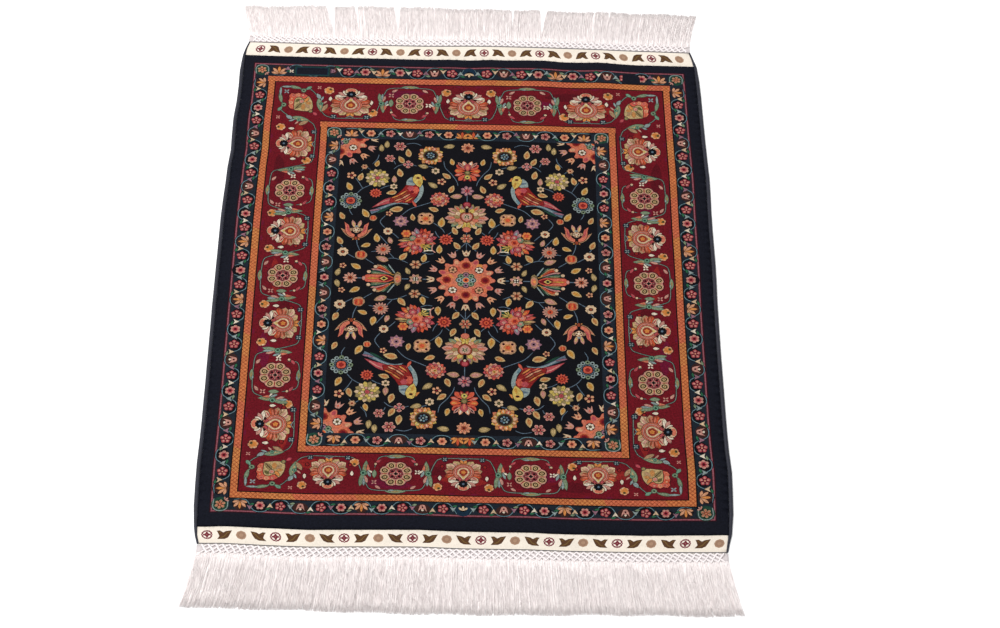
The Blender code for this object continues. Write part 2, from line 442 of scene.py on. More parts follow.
class MotifBook:
    """The small motifs that the borders and the field share."""

    def __init__(self, cartoon: Cartoon) -> None:
        """Draw on this cartoon."""
        self.c = cartoon

    def leaf(self, pin: Pin, length: float, tones: Tones) -> None:
        """Draw a leaf that is centred on the pin and points along X."""
        spot = pin.at(-length / 2, 0)
        outline = blade(length, length * 0.54, length * 0.08)
        self.c.edged(spot, outline, tones[0])
        self.c.fill(spot, shrunk(outline, 0.66, (length * 0.42, 0)), tones[1])
        rib = [(length * 0.12, -0.3), (length * 0.86, length * 0.05), (length * 0.12, 0.4)]
        self.c.fill(spot, rib, tones[2])

    def petal(
        self,
        pin: Pin,
        start: Point,
        end: Point,
        width: float,
        yarn: Yarn,
        edge: Yarn | None = None,
        full: float = 0.6,
    ) -> None:
        """Draw one petal from a place to another.

        Args:
            pin: the flower's pin.
            start: the petal's foot.
            end: its tip.
            width: its greatest width.
            yarn: its colour.
            edge: the colour of its edge, if it has one.
            full: where along it is widest, as a share of its length.
        """
        dx, dy = end[0] - start[0], end[1] - start[1]
        spot = pin.at(start[0], start[1], math.degrees(math.atan2(dy, dx)))
        outline = blade(math.hypot(dx, dy), width, 0.0, full)
        if edge is not None:
            self.c.fill(spot, grown(outline, 0.55), edge)
        self.c.fill(spot, outline, yarn)

    def sprig(self, pin: Pin, *petals: tuple[Any, ...]) -> None:
        """Draw several petals on one pin, each given as petal() takes it."""
        for petal in petals:
            self.petal(pin, *petal)

    def rosette(self, pin: Pin, radius: float, lobes: int, tones: Tones, edge: Yarn = Yarn.INK) -> None:
        """Draw a round-petalled flower of two rings, a ring and an eye."""
        half = 180 / lobes
        if radius < 6.5:
            self.c.edged(pin, lobed(radius, lobes, 0.26), tones[0], edge, 0.7)
            self.c.fill(pin, lobed(radius * 0.66, lobes, 0.3, half), tones[1])
        else:
            self.c.fill(pin, around(radius * 0.94), edge)
            width = 1.9 * math.pi * radius / lobes * 0.62
            self.petals(pin, lobes, radius, width, [tones[0]], 0, 360, radius * 0.2)
            self.petals(pin, lobes, radius * 0.8, width * 0.45, [tones[1]], 0, 360, radius * 0.3)
        self.c.stack(pin, (around(radius * 0.36), tones[2]), (around(radius * 0.16), tones[3]))

    def petals(
        self,
        pin: Pin,
        count: int,
        reach: float,
        width: float,
        yarns: Sequence[Yarn],
        start: float = 0.0,
        sweep: float = 360.0,
        inner: float = 0.0,
    ) -> None:
        """Draw separate petals that stand round the pin.

        Args:
            pin: the middle of the flower.
            count: how many petals there are.
            reach: how far they reach.
            width: how wide each is.
            yarns: their colours, taken in turn.
            start: the first one's direction in degrees.
            sweep: the angle they share, where 360 is a full turn.
            inner: how far from the middle they begin.
        """
        step = sweep / count if sweep >= 360 else sweep / max(count - 1, 1)
        for k in range(count):
            spot = pin.at(0, 0, start + step * k)
            outline = blade(reach - inner, width, 0, 0.6)
            self.c.fill(spot.at(inner, 0), outline, yarns[k % len(yarns)])

    def aster(self, pin: Pin, radius: float, points: int, tones: Tones) -> None:
        """Draw a flower with many pointed petals."""
        self.c.stack(
            pin,
            (spiked(radius, points, 0.72), tones[0], Yarn.INK, 0.7),
            (spiked(radius * 0.72, points, 0.66, 180 / points), tones[1]),
            (around(radius * 0.34), tones[2]),
            (around(radius * 0.16), tones[3]),
        )

    def cluster(
        self, pin: Pin, radius: float, count: int, petal: Yarn, eye: Yarn, back: Yarn = Yarn.INK
    ) -> None:
        """Draw a flower whose petals are separate round spots."""
        self.c.fill(pin, around(radius + 0.6), back)
        for k in range(count):
            angle = math.tau * (k + 0.5) / count
            reach = radius * 0.66
            spot = pin.at(*polar(reach, angle))
            self.c.fill(spot, around(radius * 0.34, 6), petal)
        self.c.fill(pin, around(radius * 0.26, 6), eye)

    def tulip(self, pin: Pin, height: float, outer: Yarn, heart: Yarn, edge: Yarn = Yarn.INK) -> None:
        """Draw a three-pointed flower that opens along Y."""
        half = [(0.0, -0.5), (0.26, -0.42), (0.4, -0.1), (0.52, 0.5), (0.2, 0.1), (0.0, 0.52)]
        outline = [(x * height, y * height) for x, y in both_sides(half)]
        self.c.edged(pin, outline, outer, edge, 0.7)
        self.c.fill(pin.at(0, -height * 0.12), around(height * 0.14, 7, 0.9), heart)

    def fan(self, pin: Pin, height: float, tones: Tones, edge: Yarn = Yarn.INK) -> None:
        """Draw an open fan of five petals that opens along Y."""
        foot = pin.at(0, -height / 2)
        self.petals(foot, 5, height * 1.04, height * 0.3, [edge], 20, 140)
        for k, reach in enumerate((0.86, 0.92, 1.0, 0.92, 0.86)):
            spot = foot.at(0, 0, 20 + 35 * k)
            self.c.fill(spot, blade(height * reach, height * 0.21, 0, 0.62), tones[0])
            inner = blade(height * reach * 0.55, height * 0.1, 0, 0.6)
            self.c.fill(spot.at(height * 0.08, 0), inner, tones[1])
        self.c.fill(foot, around(height * 0.16, 8), tones[1])

    def bud(self, pin: Pin, size: float, yarn: Yarn, edge: Yarn = Yarn.INK) -> None:
        """Draw a small bud of three leaves that opens along Y."""
        self.c.fill(pin, around(size * 0.72, 8), edge)
        self.petals(pin.at(0, -size * 0.4), 3, size, size * 0.42, [yarn], 38, 104)

    def star(self, pin: Pin, radius: float, yarn: Yarn, eye: Yarn) -> None:
        """Draw a tiny four-petalled flower."""
        self.petals(pin, 4, radius, radius * 0.5, [yarn], 45)
        self.c.fill(pin, around(radius * 0.26, 6), eye)


@dataclass(frozen=True)
class Bands:
    """Where the pattern's bands lie on one side, in millimetres out from its middle."""

    line: float
    stripe: float
    main: float
    inner_stripe: float
    guard: float
    field: float


@dataclass(frozen=True)
class Layout:
    """Every band of the pattern. The far end is woven taller than the near end."""

    left: Bands = Bands(292.5, 271.4, 263.2, 195.8, 187.6, 168.2)
    right: Bands = Bands(291.6, 269.8, 261.6, 193.6, 185.2, 165.6)
    top: Bands = Bands(365.6, 341.8, 332.2, 258.6, 249.2, 228.8)
    bottom: Bands = Bands(367.2, 347.6, 339.4, 279.4, 271.0, 251.6)
    line_width: float = 1.7
    shadow: float = 1.5

    def field_middle(self) -> Point:
        """Return the middle of the field."""
        return ((self.right.field - self.left.field) / 2, (self.top.field - self.bottom.field) / 2)

    def corners(self, inner: str, outer: str) -> list[tuple[Pin, float, float]]:
        """Return each corner of a band: a pin at its middle with X and Y outward, and its size.

        Args:
            inner: the name of the band's inner edge in Bands.
            outer: the name of its outer edge.

        Returns:
            The pin, the width and the height of the four corners.
        """
        found = []
        for sx, across in ((-1, self.left), (1, self.right)):
            for sy, along in ((-1, self.bottom), (1, self.top)):
                left, low = getattr(across, inner), getattr(along, inner)
                wide, tall = getattr(across, outer) - left, getattr(along, outer) - low
                x, y = sx * (left + wide / 2), sy * (low + tall / 2)
                found.append((Pin().at(x, y, wide=sx, tall=sy), wide, tall))
        return found

    def field_half(self) -> Point:
        """Return half the field's width and height."""
        return ((self.right.field + self.left.field) / 2, (self.top.field + self.bottom.field) / 2)


@dataclass(frozen=True)
class Side:
    """One side of a band: its middle, the way it faces, and how far it runs each way."""

    pin: Pin
    half: float
    depth: float

    def at(self, along: float, across: float, turn: float = 0.0, size: float = 1.0) -> Pin:
        """Return a pin at a place along the side and a share of the way across it."""
        return self.pin.at(along, self.depth * across, turn, size)


def four_sides(layout: Layout, inner: str, outer: str) -> list[Side]:
    """Return the four sides of a band, each with Y outward and X along it.

    Args:
        layout: the pattern's bands.
        inner: the name of the band's inner edge in Bands.
        outer: the name of its outer edge.

    Returns:
        The top, bottom, left and right sides.
    """
    reach = {
        name: (getattr(getattr(layout, name), inner), getattr(getattr(layout, name), outer))
        for name in ("left", "right", "top", "bottom")
    }
    mx = (reach["right"][0] - reach["left"][0]) / 2
    my = (reach["top"][0] - reach["bottom"][0]) / 2
    half_x = (reach["right"][0] + reach["left"][0]) / 2
    half_y = (reach["top"][0] + reach["bottom"][0]) / 2
    base = Pin()
    top_in, top_out = reach["top"]
    bottom_in, bottom_out = reach["bottom"]
    left_in, left_out = reach["left"]
    right_in, right_out = reach["right"]
    return [
        Side(base.at(mx, top_in), half_x, top_out - top_in),
        Side(base.at(mx, -bottom_in, tall=-1), half_x, bottom_out - bottom_in),
        Side(base.at(-left_in, my, 90), half_y, left_out - left_in),
        Side(base.at(right_in, my, 90, tall=-1), half_y, right_out - right_in),
    ]


@dataclass
class GroundWork:
    """The plain grounds, lines and hatched stripes of the pattern."""

    cartoon: Cartoon
    layout: Layout
    lot_length: float = 34.0
    reach: float = 340.0
    reach_far: float = 420.0

    def ring(self, name: str, inset: float, yarn: Yarn) -> None:
        """Fill everything inside one band's outer edge, drawn in by an inset."""
        sides = self.layout
        self.cartoon.box(
            -getattr(sides.left, name) + inset,
            getattr(sides.right, name) - inset,
            -getattr(sides.bottom, name) + inset,
            getattr(sides.top, name) - inset,
            yarn,
        )

    def draw_outer(self) -> None:
        """Draw the margin, the thin line and the outer guard's ground."""
        self.cartoon.box(-self.reach, self.reach, -self.reach_far, self.reach_far, Yarn.MARGIN_WITH_PAINTED_SHEEN)
        line = self.layout.line_width
        self.ring("line", -1.3, Yarn.MAROON)
        self.ring("line", 0, Yarn.LINE)
        self.ring("line", line, Yarn.UMBER)
        self.ring("line", line + 1.0, Yarn.SLATE)

    def draw_stripe(self, outer: str, inner: str, ground: Yarn) -> None:
        """Draw a hatched stripe with its dark edges, and the ground inside it."""
        shadow = self.layout.shadow
        self.ring(outer, -shadow, Yarn.INK)
        self.ring(outer, 0, Yarn.STRIPE)
        for side in four_sides(self.layout, inner, outer):
            self._lots(side)
        self.ring(inner, 0, Yarn.INK)
        self.ring(inner, shadow, ground)

    def _lots(self, side: Side) -> None:
        """Draw the lighter and darker lengths of one stripe, one for each lot of yarn."""
        length = 2 * (side.half + side.depth)
        tones = (Yarn.STRIPE, Yarn.STRIPE_ROSY, Yarn.STRIPE, Yarn.STRIPE_PALE, Yarn.STRIPE_ROSY)
        count = int(length // self.lot_length)
        for k in range(count):
            start = -length / 2 + k * length / count
            end = start + length / count
            first, last = (side.depth * 0.5 * inside for inside in (k > 0, k < count - 1))
            outline = [(start, 0.0), (end, 0.0), (end + last, side.depth), (start + first, side.depth)]
            self.cartoon.fill(side.pin, outline, tones[(k * 3 + count) % len(tones)])
            self.cartoon.hatched.add(len(self.cartoon.outlines) - 1)


class Stop(Enum):
    """What stands in one loop of a guard border."""

    BUD = "bud"
    ROSE = "rose"
    TULIP = "tulip"
    FLOWER = "flower"
    FAN = "fan"
    TWIN = "twin"


@dataclass
class GuardBorder:
    """A narrow border of flowers in the loops of a winding line."""

    cartoon: Cartoon
    layout: Layout
    inner: str
    outer: str
    ends: tuple[Stop, ...]
    sides: tuple[Stop, ...]
    pitch: float = 22.9
    first: float = 0.0

    def draw(self) -> None:
        """Draw all four sides and their corners."""
        for number, side in enumerate(four_sides(self.layout, self.inner, self.outer)):
            stops = self.ends if number < 2 else self.sides
            self._side(side, stops)
        self._corners()

    def _side(self, side: Side, stops: tuple[Stop, ...]) -> None:
        """Draw one side, mirrored about its middle."""
        reach = side.half - side.depth * 0.1
        pitch = reach / (len(stops) - 0.55)
        self._grounds(side, stops, pitch)
        self._line(side, stops, pitch)
        book = MotifBook(self.cartoon)
        size = side.depth / GUARD_DEPTH
        for hand in (-1, 1):
            for k, stop in enumerate(stops):
                if k == 0 and hand < 0:
                    continue
                along = hand * k * pitch
                self._stop(book, side.at(along, 0.5, 0, size), stop, k)
                if k > 0:
                    low = 0.22 if stop in (Stop.ROSE, Stop.FLOWER) else 0.36
                    between = side.at(along - hand * pitch / 2, low + 0.28, 0, size * 1.15)
                    self._bud(book, between, k)

    def _stop(self, book: MotifBook, pin: Pin, stop: Stop, number: int) -> None:
        """Draw what stands in one loop."""
        pink = (Yarn.ROSE, Yarn.BLUSH, Yarn.PLUM, Yarn.PEACH)
        deep = (Yarn.BLUSH, Yarn.ROSE, Yarn.CRIMSON, Yarn.INK)
        warm = (Yarn.PEACH, Yarn.SALMON, Yarn.RUST, Yarn.UMBER)
        if stop is Stop.ROSE:
            book.rosette(pin, 6.6, 5, pink if number % 2 else deep, Yarn.MAROON)
        elif stop is Stop.FLOWER:
            book.rosette(pin, 6.1, 6, warm if number % 2 else deep, Yarn.INK)
        elif stop is Stop.TULIP:
            book.c.fill(pin, around(6.4, 10), Yarn.UMBER)
            book.tulip(pin, 10.0, Yarn.BLUSH, Yarn.MAROON, Yarn.MAROON)
            book.c.fill(pin.at(0, 3.4), around(1.3, 6, 1.3), Yarn.IVORY)
        elif stop is Stop.FAN:
            self._fan(book, pin, (Yarn.PEACH, Yarn.APRICOT))
        elif stop is Stop.TWIN:
            for way in (-1, 1):
                self._fan(book, pin.at(way * 7.4, 0), (Yarn.APRICOT, Yarn.FLAME))
        else:
            book.bud(pin.at(0, -1.0, 180), 7.0, Yarn.CREAM)

    def _fan(self, book: MotifBook, pin: Pin, tones: tuple[Yarn, Yarn]) -> None:
        """Draw the five-bladed fan flower that opens along Y, on its dark cup."""
        book.c.fill(pin.at(0, -0.4), around(8.2, 12), Yarn.UMBER)
        for k, angle in enumerate((12, 168, 50, 130, 90)):
            reach = 9.2 if k < 2 else 11.6
            x, y = polar(1.0, math.radians(angle))
            tip = (x * reach, -5.6 + y * reach)
            book.petal(pin, (0, -5.6), tip, 3.5, tones[k == 4], Yarn.UMBER, 0.6)

    def _bud(self, book: MotifBook, pin: Pin, number: int) -> None:
        """Draw the three-cornered pale bud between two loops, and its green leaf."""
        yarn = (Yarn.IVORY, Yarn.MIST, Yarn.CREAM, Yarn.MAUVE)[number % 4]
        spot = pin.at(0, 0, 0 if number % 2 else 180)
        leaf = Yarn.FERN if number % 3 else Yarn.SAGE
        book.petal(spot, (-1.0, -3.2), (4.8, -4.4), 2.8, leaf, Yarn.INK)
        corners = [(-3.4, -2.6), (0, -1.2), (3.4, -2.6), (1.4, 0.6), (0, 3.4), (-1.4, 0.6)]
        book.c.edged(spot, corners, yarn, Yarn.INK, 0.5)

    def _grounds(self, side: Side, stops: tuple[Stop, ...], pitch: float) -> None:
        """Fill each loop with its own dark ground, drawn in at its corners."""
        grounds = {
            Stop.ROSE: Yarn.MIDNIGHT, Stop.FLOWER: Yarn.MIDNIGHT, Stop.TULIP: Yarn.UMBER,
            Stop.FAN: Yarn.MIDNIGHT, Stop.TWIN: Yarn.PINE, Stop.BUD: Yarn.PETROL
        }
        for hand in (-1, 1):
            for k, stop in enumerate(stops):
                lean = -0.1 if k % 2 else 0.1
                spot = side.at(hand * k * pitch, 0.5 + lean)
                width = pitch * 0.4 / (side.depth * 0.4)
                self.cartoon.fill(spot, around(side.depth * 0.4, 12, width), grounds[stop])

    def _line(self, side: Side, stops: tuple[Stop, ...], pitch: float) -> None:
        """Draw the pale line that winds under one flower and over the next."""
        for hand in (-1, 1):
            path = []
            for k in range(len(stops)):
                level = 0.14 if k % 2 else 0.86
                for shift in (-0.3, 0.3):
                    if k == 0 and shift < 0:
                        continue
                    path.append((hand * (k + shift) * pitch, side.depth * level))
            self.cartoon.stroke(side.pin, path, 1.1, Yarn.SKY, Yarn.INK, 4)

    def _corners(self) -> None:
        """Draw a rosette in a loop at each corner."""
        book = MotifBook(self.cartoon)
        arc = [(-9, -6), (-8.5, 4), (-4, 8.5), (4, 8.2), (8.4, 3), (7.5, -8)]
        tones = (Yarn.TAN, Yarn.SALMON, Yarn.RUST, Yarn.PEACH)
        for spot, wide, _ in self.layout.corners(self.inner, self.outer):
            self.cartoon.fill(spot, around(wide * 0.5), Yarn.PINE)
            self.cartoon.stroke(spot, arc, 1.1, Yarn.MIST)
            book.rosette(spot.at(0, 0, 20), 6.8, 6, tones)
            book.bud(spot.at(-7.0, -7.0, 135), 5.0, Yarn.BLUSH, Yarn.MIDNIGHT)


@dataclass
class MainBorder:
    """The wide crimson border of palmettes and round rosettes on a winding vine."""

    cartoon: Cartoon
    layout: Layout
    rosette_radius: float = 19.5

    # Where the motifs stand along each side from its middle, in millimetres
    ends_palmettes: tuple[float, ...] = (-157.5, 0.0, 157.5)
    ends_rosettes: tuple[float, ...] = (-78.8, 78.8)
    sides_palmettes: tuple[float, ...] = (-230.5, -76.5, 74.5, 227.5)
    sides_rosettes: tuple[float, ...] = (-157.0, 0.0, 144.0)

    def draw(self) -> None:
        """Draw all four sides and the corners."""
        self.book = MotifBook(self.cartoon)
        for number, side in enumerate(four_sides(self.layout, "inner_stripe", "main")):
            is_end = number < 2
            palmettes = self.ends_palmettes if is_end else self.sides_palmettes
            rosettes = self.ends_rosettes if is_end else self.sides_rosettes
            self._abrash(side)
            self._vine(side, palmettes, rosettes)
            for along in palmettes:
                self._palmette_group(side, along)
            for along in rosettes:
                self._rosette_group(side, along, is_end)
        self._corners()

    def _abrash(self, side: Side) -> None:
        """Vary the crimson ground in long soft-edged lengths, as dye lots do."""
        tones = (Yarn.BRICK, Yarn.WINE, Yarn.PLUM, Yarn.CRIMSON)
        count = 9
        for k in range(count):
            along = side.half * 2 * ((k + 0.5) / count - 0.5)
            across = 0.28 + 0.44 * ((k * 7) % 5) / 4
            outline = blade(58, 15, 4, 0.5)
            self.cartoon.fill(side.at(along - 29, across), outline, tones[(k * 3) % 4])

    def _vine(self, side: Side, palmettes: Sequence[float], rosettes: Sequence[float]) -> None:
        """Draw the vine: inside of the palmettes, outside of the rosettes, crossing between."""
        stops = [(a, 0.1) for a in palmettes] + [(a, 0.9) for a in rosettes]
        stops.sort()
        reach = side.half - 14.0
        path: list[Point] = [(-reach, side.depth * 0.09)]
        for (along, across), (after, beyond) in zip(stops, stops[1:]):
            crossing = (along + after) / 2
            path += [(along + 6.0, side.depth * across)]
            for shift, share in ((-12.0, 0.03), (-5.5, 0.18), (0.0, 0.5), (5.5, 0.82), (12.0, 0.97)):
                path.append((crossing + shift, side.depth * (across + (beyond - across) * share)))
            path += [(after - 6.0, side.depth * beyond)]
        path += [(stops[-1][0] + 6.0, side.depth * 0.1), (reach, side.depth * 0.09)]
        self.cartoon.stroke(side.pin, path, 1.0, Yarn.VINE, Yarn.INK, 3)
        for along in palmettes:
            chevron = [(along - 7, side.depth * 0.09), (along, side.depth * 0.155)]
            chevron += [(along + 7, side.depth * 0.09)]
            self.cartoon.stroke(side.pin, chevron, 1.1, Yarn.MIST, Yarn.INK, 1)
        for along in rosettes:
            inner = [
                (along - 25, side.depth * 0.36), (along - 20, side.depth * 0.12),
                (along - 7, side.depth * 0.07), (along + 7, side.depth * 0.07),
                (along + 20, side.depth * 0.12), (along + 22, side.depth * 0.3)
            ]
            self.cartoon.stroke(side.pin, inner, 0.95, Yarn.VINE, Yarn.INK, 4)

    def _palmette_group(self, side: Side, along: float) -> None:
        """Draw a palmette with the flowers, buds and trefoils beside it."""
        size = side.depth / MAIN_DEPTH
        near_corner = abs(along) > 150
        for hand in (-1, 1):
            outward = not near_corner or hand * along > 0
            level, bud_level = (0.79, 0.58) if outward else (0.24, 0.5)
            flower = side.at(along + hand * 30.0, level, 20 * hand, size)
            self._orange_flower(flower)
            bud = side.at(along + hand * 27.5, bud_level, 90 if outward else -90, size)
            self.cartoon.edged(bud.at(-3.9, 0), blade(7.8, 4.2), Yarn.IVORY, Yarn.MAROON)
            sprig = side.at(along + hand * 22.0, 0.13, 0, size)
            self.cartoon.fill(sprig, around(4.4, 9), Yarn.SLATE)
            self.book.star(sprig, 3.4, Yarn.MIST, Yarn.PETROL)
            sliver = side.at(along + hand * 13.0, 0.95, 0, size)
            self.cartoon.fill(sliver.at(-5, 0), blade(10, 2.6), Yarn.PLUM)
            ring = side.at(along + hand * 25.0, 0.3, 0, size)
            self.cartoon.fill(ring, lobed(3.4, 5, 0.2), Yarn.MAROON)
            self.cartoon.fill(ring, lobed(2.2, 5, 0.2), Yarn.BRICK)
        self._palmette(side.at(along, 0.5, 0, size * 1.04).at(0, 0, wide=1.07))

    def _orange_flower(self, pin: Pin) -> None:
        """Draw the small orange flower with a dark spot near its rim."""
        c = self.cartoon
        c.edged(pin, lobed(6.4, 6, 0.2), Yarn.PEACH, Yarn.MAROON, 0.8)
        c.fill(pin, lobed(5.2, 6, 0.22, 30), Yarn.APRICOT)
        c.fill(pin.at(0.6, -0.6), lobed(3.6, 5, 0.25), Yarn.ORANGE)
        c.fill(pin.at(0.8, 2.6), around(1.9, 7, 1.2), Yarn.OLIVE)
        c.fill(pin.at(0.8, 2.8), around(1.0, 6, 1.2), Yarn.UMBER)
        c.fill(pin.at(-3.6, -3.2), around(1.3, 6), Yarn.CREAM)

    def _palmette(self, pin: Pin) -> None:
        """Draw the big palmette, 44 mm each way, that opens along Y."""
        c, book = self.cartoon, self.book
        c.fill(pin.at(0, -2), lobed(19.5, 12, 0.1), Yarn.MAROON)
        lobes = (
            (-82, 19.5, 8.4, Yarn.TAN, Yarn.APRICOT, Yarn.RUST),
            (-58, 21.5, 9.4, Yarn.SAND, Yarn.BLUSH, Yarn.TAN),
            (-33, 24.0, 9.6, Yarn.CREAM, Yarn.TAN, Yarn.BLUSH),
            (-9, 22.5, 9.2, Yarn.TAN, Yarn.SALMON, Yarn.RUST),
            (14, 22.5, 8.8, Yarn.RUST, Yarn.FLAME, Yarn.SALMON),
            (36, 22.0, 7.4, Yarn.CREAM, Yarn.BLUSH, Yarn.ROSE),
        )
        for hand in (1, -1):
            side = pin.at(0, -3, wide=hand)
            for angle, reach, width, outer, middle, inner in lobes:
                ray = side.at(0, 0, angle)
                book.sprig(
                    ray,
                    ((0, 0), (reach, 0), width, outer, Yarn.MAROON, 0.78),
                    ((6, 1.1), (reach - 1.5, 1.5), width * 0.3, middle, None, 0.7),
                    ((6, -1.1), (reach - 3, -1.5), width * 0.26, inner, None, 0.7),
                )
            for tip, width, yarn in (
                ((17.5, 13.0), 4.6, Yarn.IVORY), ((14.5, 19.0), 4.8, Yarn.BLUSH),
                ((9.0, 22.0), 4.4, Yarn.IVORY)
            ):
                book.petal(side, (3.5, 13.0), tip, width, yarn, Yarn.MAROON, 0.62)
        rings = (
            (13.0, 19.5, Yarn.MAROON), (12.4, 18.5, Yarn.SALMON), (11.3, 17.0, Yarn.RUST),
            (10.6, 16.0, Yarn.BLUSH), (9.4, 14.5, Yarn.BRICK), (8.7, 13.5, Yarn.SALMON),
            (7.8, 12.6, Yarn.MAROON), (7.2, 12.0, Yarn.CREAM), (5.3, 7.6, Yarn.RUST)
        )
        for radius, tip, yarn in rings:
            c.fill(pin.at(0, -4.6), drop(radius, tip), yarn)
        c.stack(pin.at(0, -4.6), (around(4.2, 12), Yarn.BRICK), (lobed(3.2, 5, 0.3), Yarn.ORANGE))
        c.fill(pin.at(0, 3.2), around(1.5, 7, 1.0), Yarn.LEMON)
        for hand in (1, -1):
            book.petal(pin, (0, -17), (hand * 3.6, -23.0), 3.6, Yarn.APRICOT, Yarn.MAROON)
            book.petal(pin, (hand * 2, 8), (hand * 6.0, 4.0), 3.2, Yarn.ROSE, Yarn.MAROON)
        c.edged(pin.at(0, 17.6), around(5.6, 12, 1.25), Yarn.CREAM, Yarn.MAROON, 0.7)
        c.fill(pin.at(0, 19.6), around(3.2, 9, 1.6), Yarn.SALMON)
        c.stack(pin.at(0, 13.2), (lobed(5.7, 9, 0.16), Yarn.MIDNIGHT), (around(1.6, 7), Yarn.STEEL))

    def _rosette_group(self, side: Side, along: float, is_end: bool) -> None:
        """Draw a round rosette with the leaves, stars and slivers that ring it."""
        size = side.depth / MAIN_DEPTH
        book = self.book
        near_corner = not is_end and abs(along) > 100
        for hand in (-1, 1):
            base_outward = near_corner and hand * along > 0
            turn = -90 if base_outward else 90
            spot = side.at(along + hand * 36.5, 0.5, turn - 9 * hand * turn / 90)
            self._forked_leaf(spot.at(0, 0, wide=-1, tall=hand * turn / 90))
            star = side.at(along + hand * 25.0, 0.46 if hand > 0 else 0.7, 0, size)
            book.star(star, 4.4, Yarn.IVORY if hand > 0 else Yarn.BLUSH, Yarn.MAROON)
            for across, yarn in ((0.82, Yarn.BLUSH), (0.2, Yarn.ROSE)):
                lean = 34 * hand * (1 if across < 0.5 else -1)
                chip = side.at(along + hand * 20.5, across, lean, size)
                self.cartoon.edged(chip.at(-4.4, 0), blade(8.8, 3.8), yarn, Yarn.MAROON, 0.6)
            bead = side.at(along + hand * 24.0, 0.27, 0, size)
            self.cartoon.edged(bead, around(1.7, 7), Yarn.CREAM, Yarn.MAROON, 0.6)
        bud = side.at(along - 25.0, 0.5, 90, size)
        self.cartoon.edged(bud.at(-6, 0), blade(12.5, 5.4, 0, 0.5), Yarn.SAGE, Yarn.PINE, 0.7)
        long = 24.0 if is_end else 18.0
        for level, tall in ((0.92, 1), (0.085, -1)):
            spot = side.at(along, level, 0, 1).at(0, 0, tall=tall)
            book.sprig(
                spot,
                ((-long / 2, 0), (long / 2, 0), 5.0, Yarn.SAGE, Yarn.INK, 0.5),
                ((-long * 0.4, -1.4), (-1, -1.6), 2.2, Yarn.MIST, Yarn.PINE),
                ((-long * 0.25, 0.4), (long * 0.25, 0.3), 2.6, Yarn.KHAKI, None, 0.5),
            )
        flat = side.at(along, 0.5).at(0, 0, tall=min(1.0, size))
        self._round_rosette(flat)

    def _forked_leaf(self, pin: Pin) -> None:
        """Draw the forked mint leaf, 36 mm along X, its stalk end at the right."""
        c, book = self.cartoon, self.book
        book.sprig(
            pin,
            ((18.5, -1.5), (-3.0, 1.4), 7.0, Yarn.SAGE, Yarn.PINE, 0.55),
            ((14.0, 1.2), (1.0, 4.6), 3.8, Yarn.SALMON, Yarn.MAROON),
            ((5.0, 2.4), (-3.6, 7.8), 3.2, Yarn.MIST, Yarn.INK),
            ((6.0, 2.6), (2.6, 9.4), 2.6, Yarn.IVORY, Yarn.INK),
            ((3.0, -1.0), (-18.5, -2.2), 6.2, Yarn.SAGE, Yarn.PINE, 0.5),
            ((-2.0, 0.6), (-12.5, 5.6), 4.0, Yarn.BLUSH, Yarn.UMBER),
            ((-5.0, 0.0), (-17.0, 2.4), 3.0, Yarn.MIST, Yarn.PINE),
            ((14.0, -1.6), (5.0, -0.6), 2.4, Yarn.KHAKI),
        )
        c.edged(pin.at(0.6, -1.6), around(3.2, 9), Yarn.MINT, Yarn.PINE, 0.7)
        c.fill(pin.at(0.6, -1.8), around(1.8, 7), Yarn.PINE)

    def _round_rosette(self, pin: Pin) -> None:
        """Draw the round rosette with a ringed spot in each of its eight petals."""
        c, radius = self.cartoon, self.rosette_radius
        c.edged(pin, lobed(radius, 8, 0.12, 22.5), Yarn.BLUSH, Yarn.MAROON, 1.2)
        for k in range(8):
            angle = 22.5 + 45 * k
            seam = pin.at(0, 0, angle + 22.5).at(radius * 0.48, 0)
            c.fill(seam, blade(radius * 0.46, 1.5), Yarn.BRICK)
            spot = pin.at(0, 0, angle).at(radius * 0.72, 0)
            c.stack(
                spot,
                (around(4.7, 10), Yarn.SAND),
                (around(3.3, 9, 1.2), Yarn.UMBER),
                (around(1.8, 8, 1.25), Yarn.SAND),
                (around(0.8, 6), Yarn.UMBER),
            )
        c.fill(pin, lobed(radius * 0.46, 8, 0.12), Yarn.MAROON)
        c.fill(pin, lobed(radius * 0.41, 8, 0.14), Yarn.ROSE)
        for k, spot in enumerate(spread(pin, 8, radius * 0.29)):
            c.fill(spot, around(2.0, 7), Yarn.MAROON)
            c.fill(spot, around(1.0, 6), Yarn.INK if k % 2 else Yarn.BLUSH)
        c.fill(pin, lobed(radius * 0.2, 4, 0.3), Yarn.BLUSH)
        c.fill(pin, lobed(radius * 0.15, 4, 0.4), Yarn.INK)

    def _corners(self) -> None:
        """Draw the square blossom, half salmon and half olive, with scrolls in each corner."""
        for spot, _, tall in self.layout.corners("inner_stripe", "main"):
            self._corner(spot.at(0, 0, tall=tall / MAIN_DEPTH))

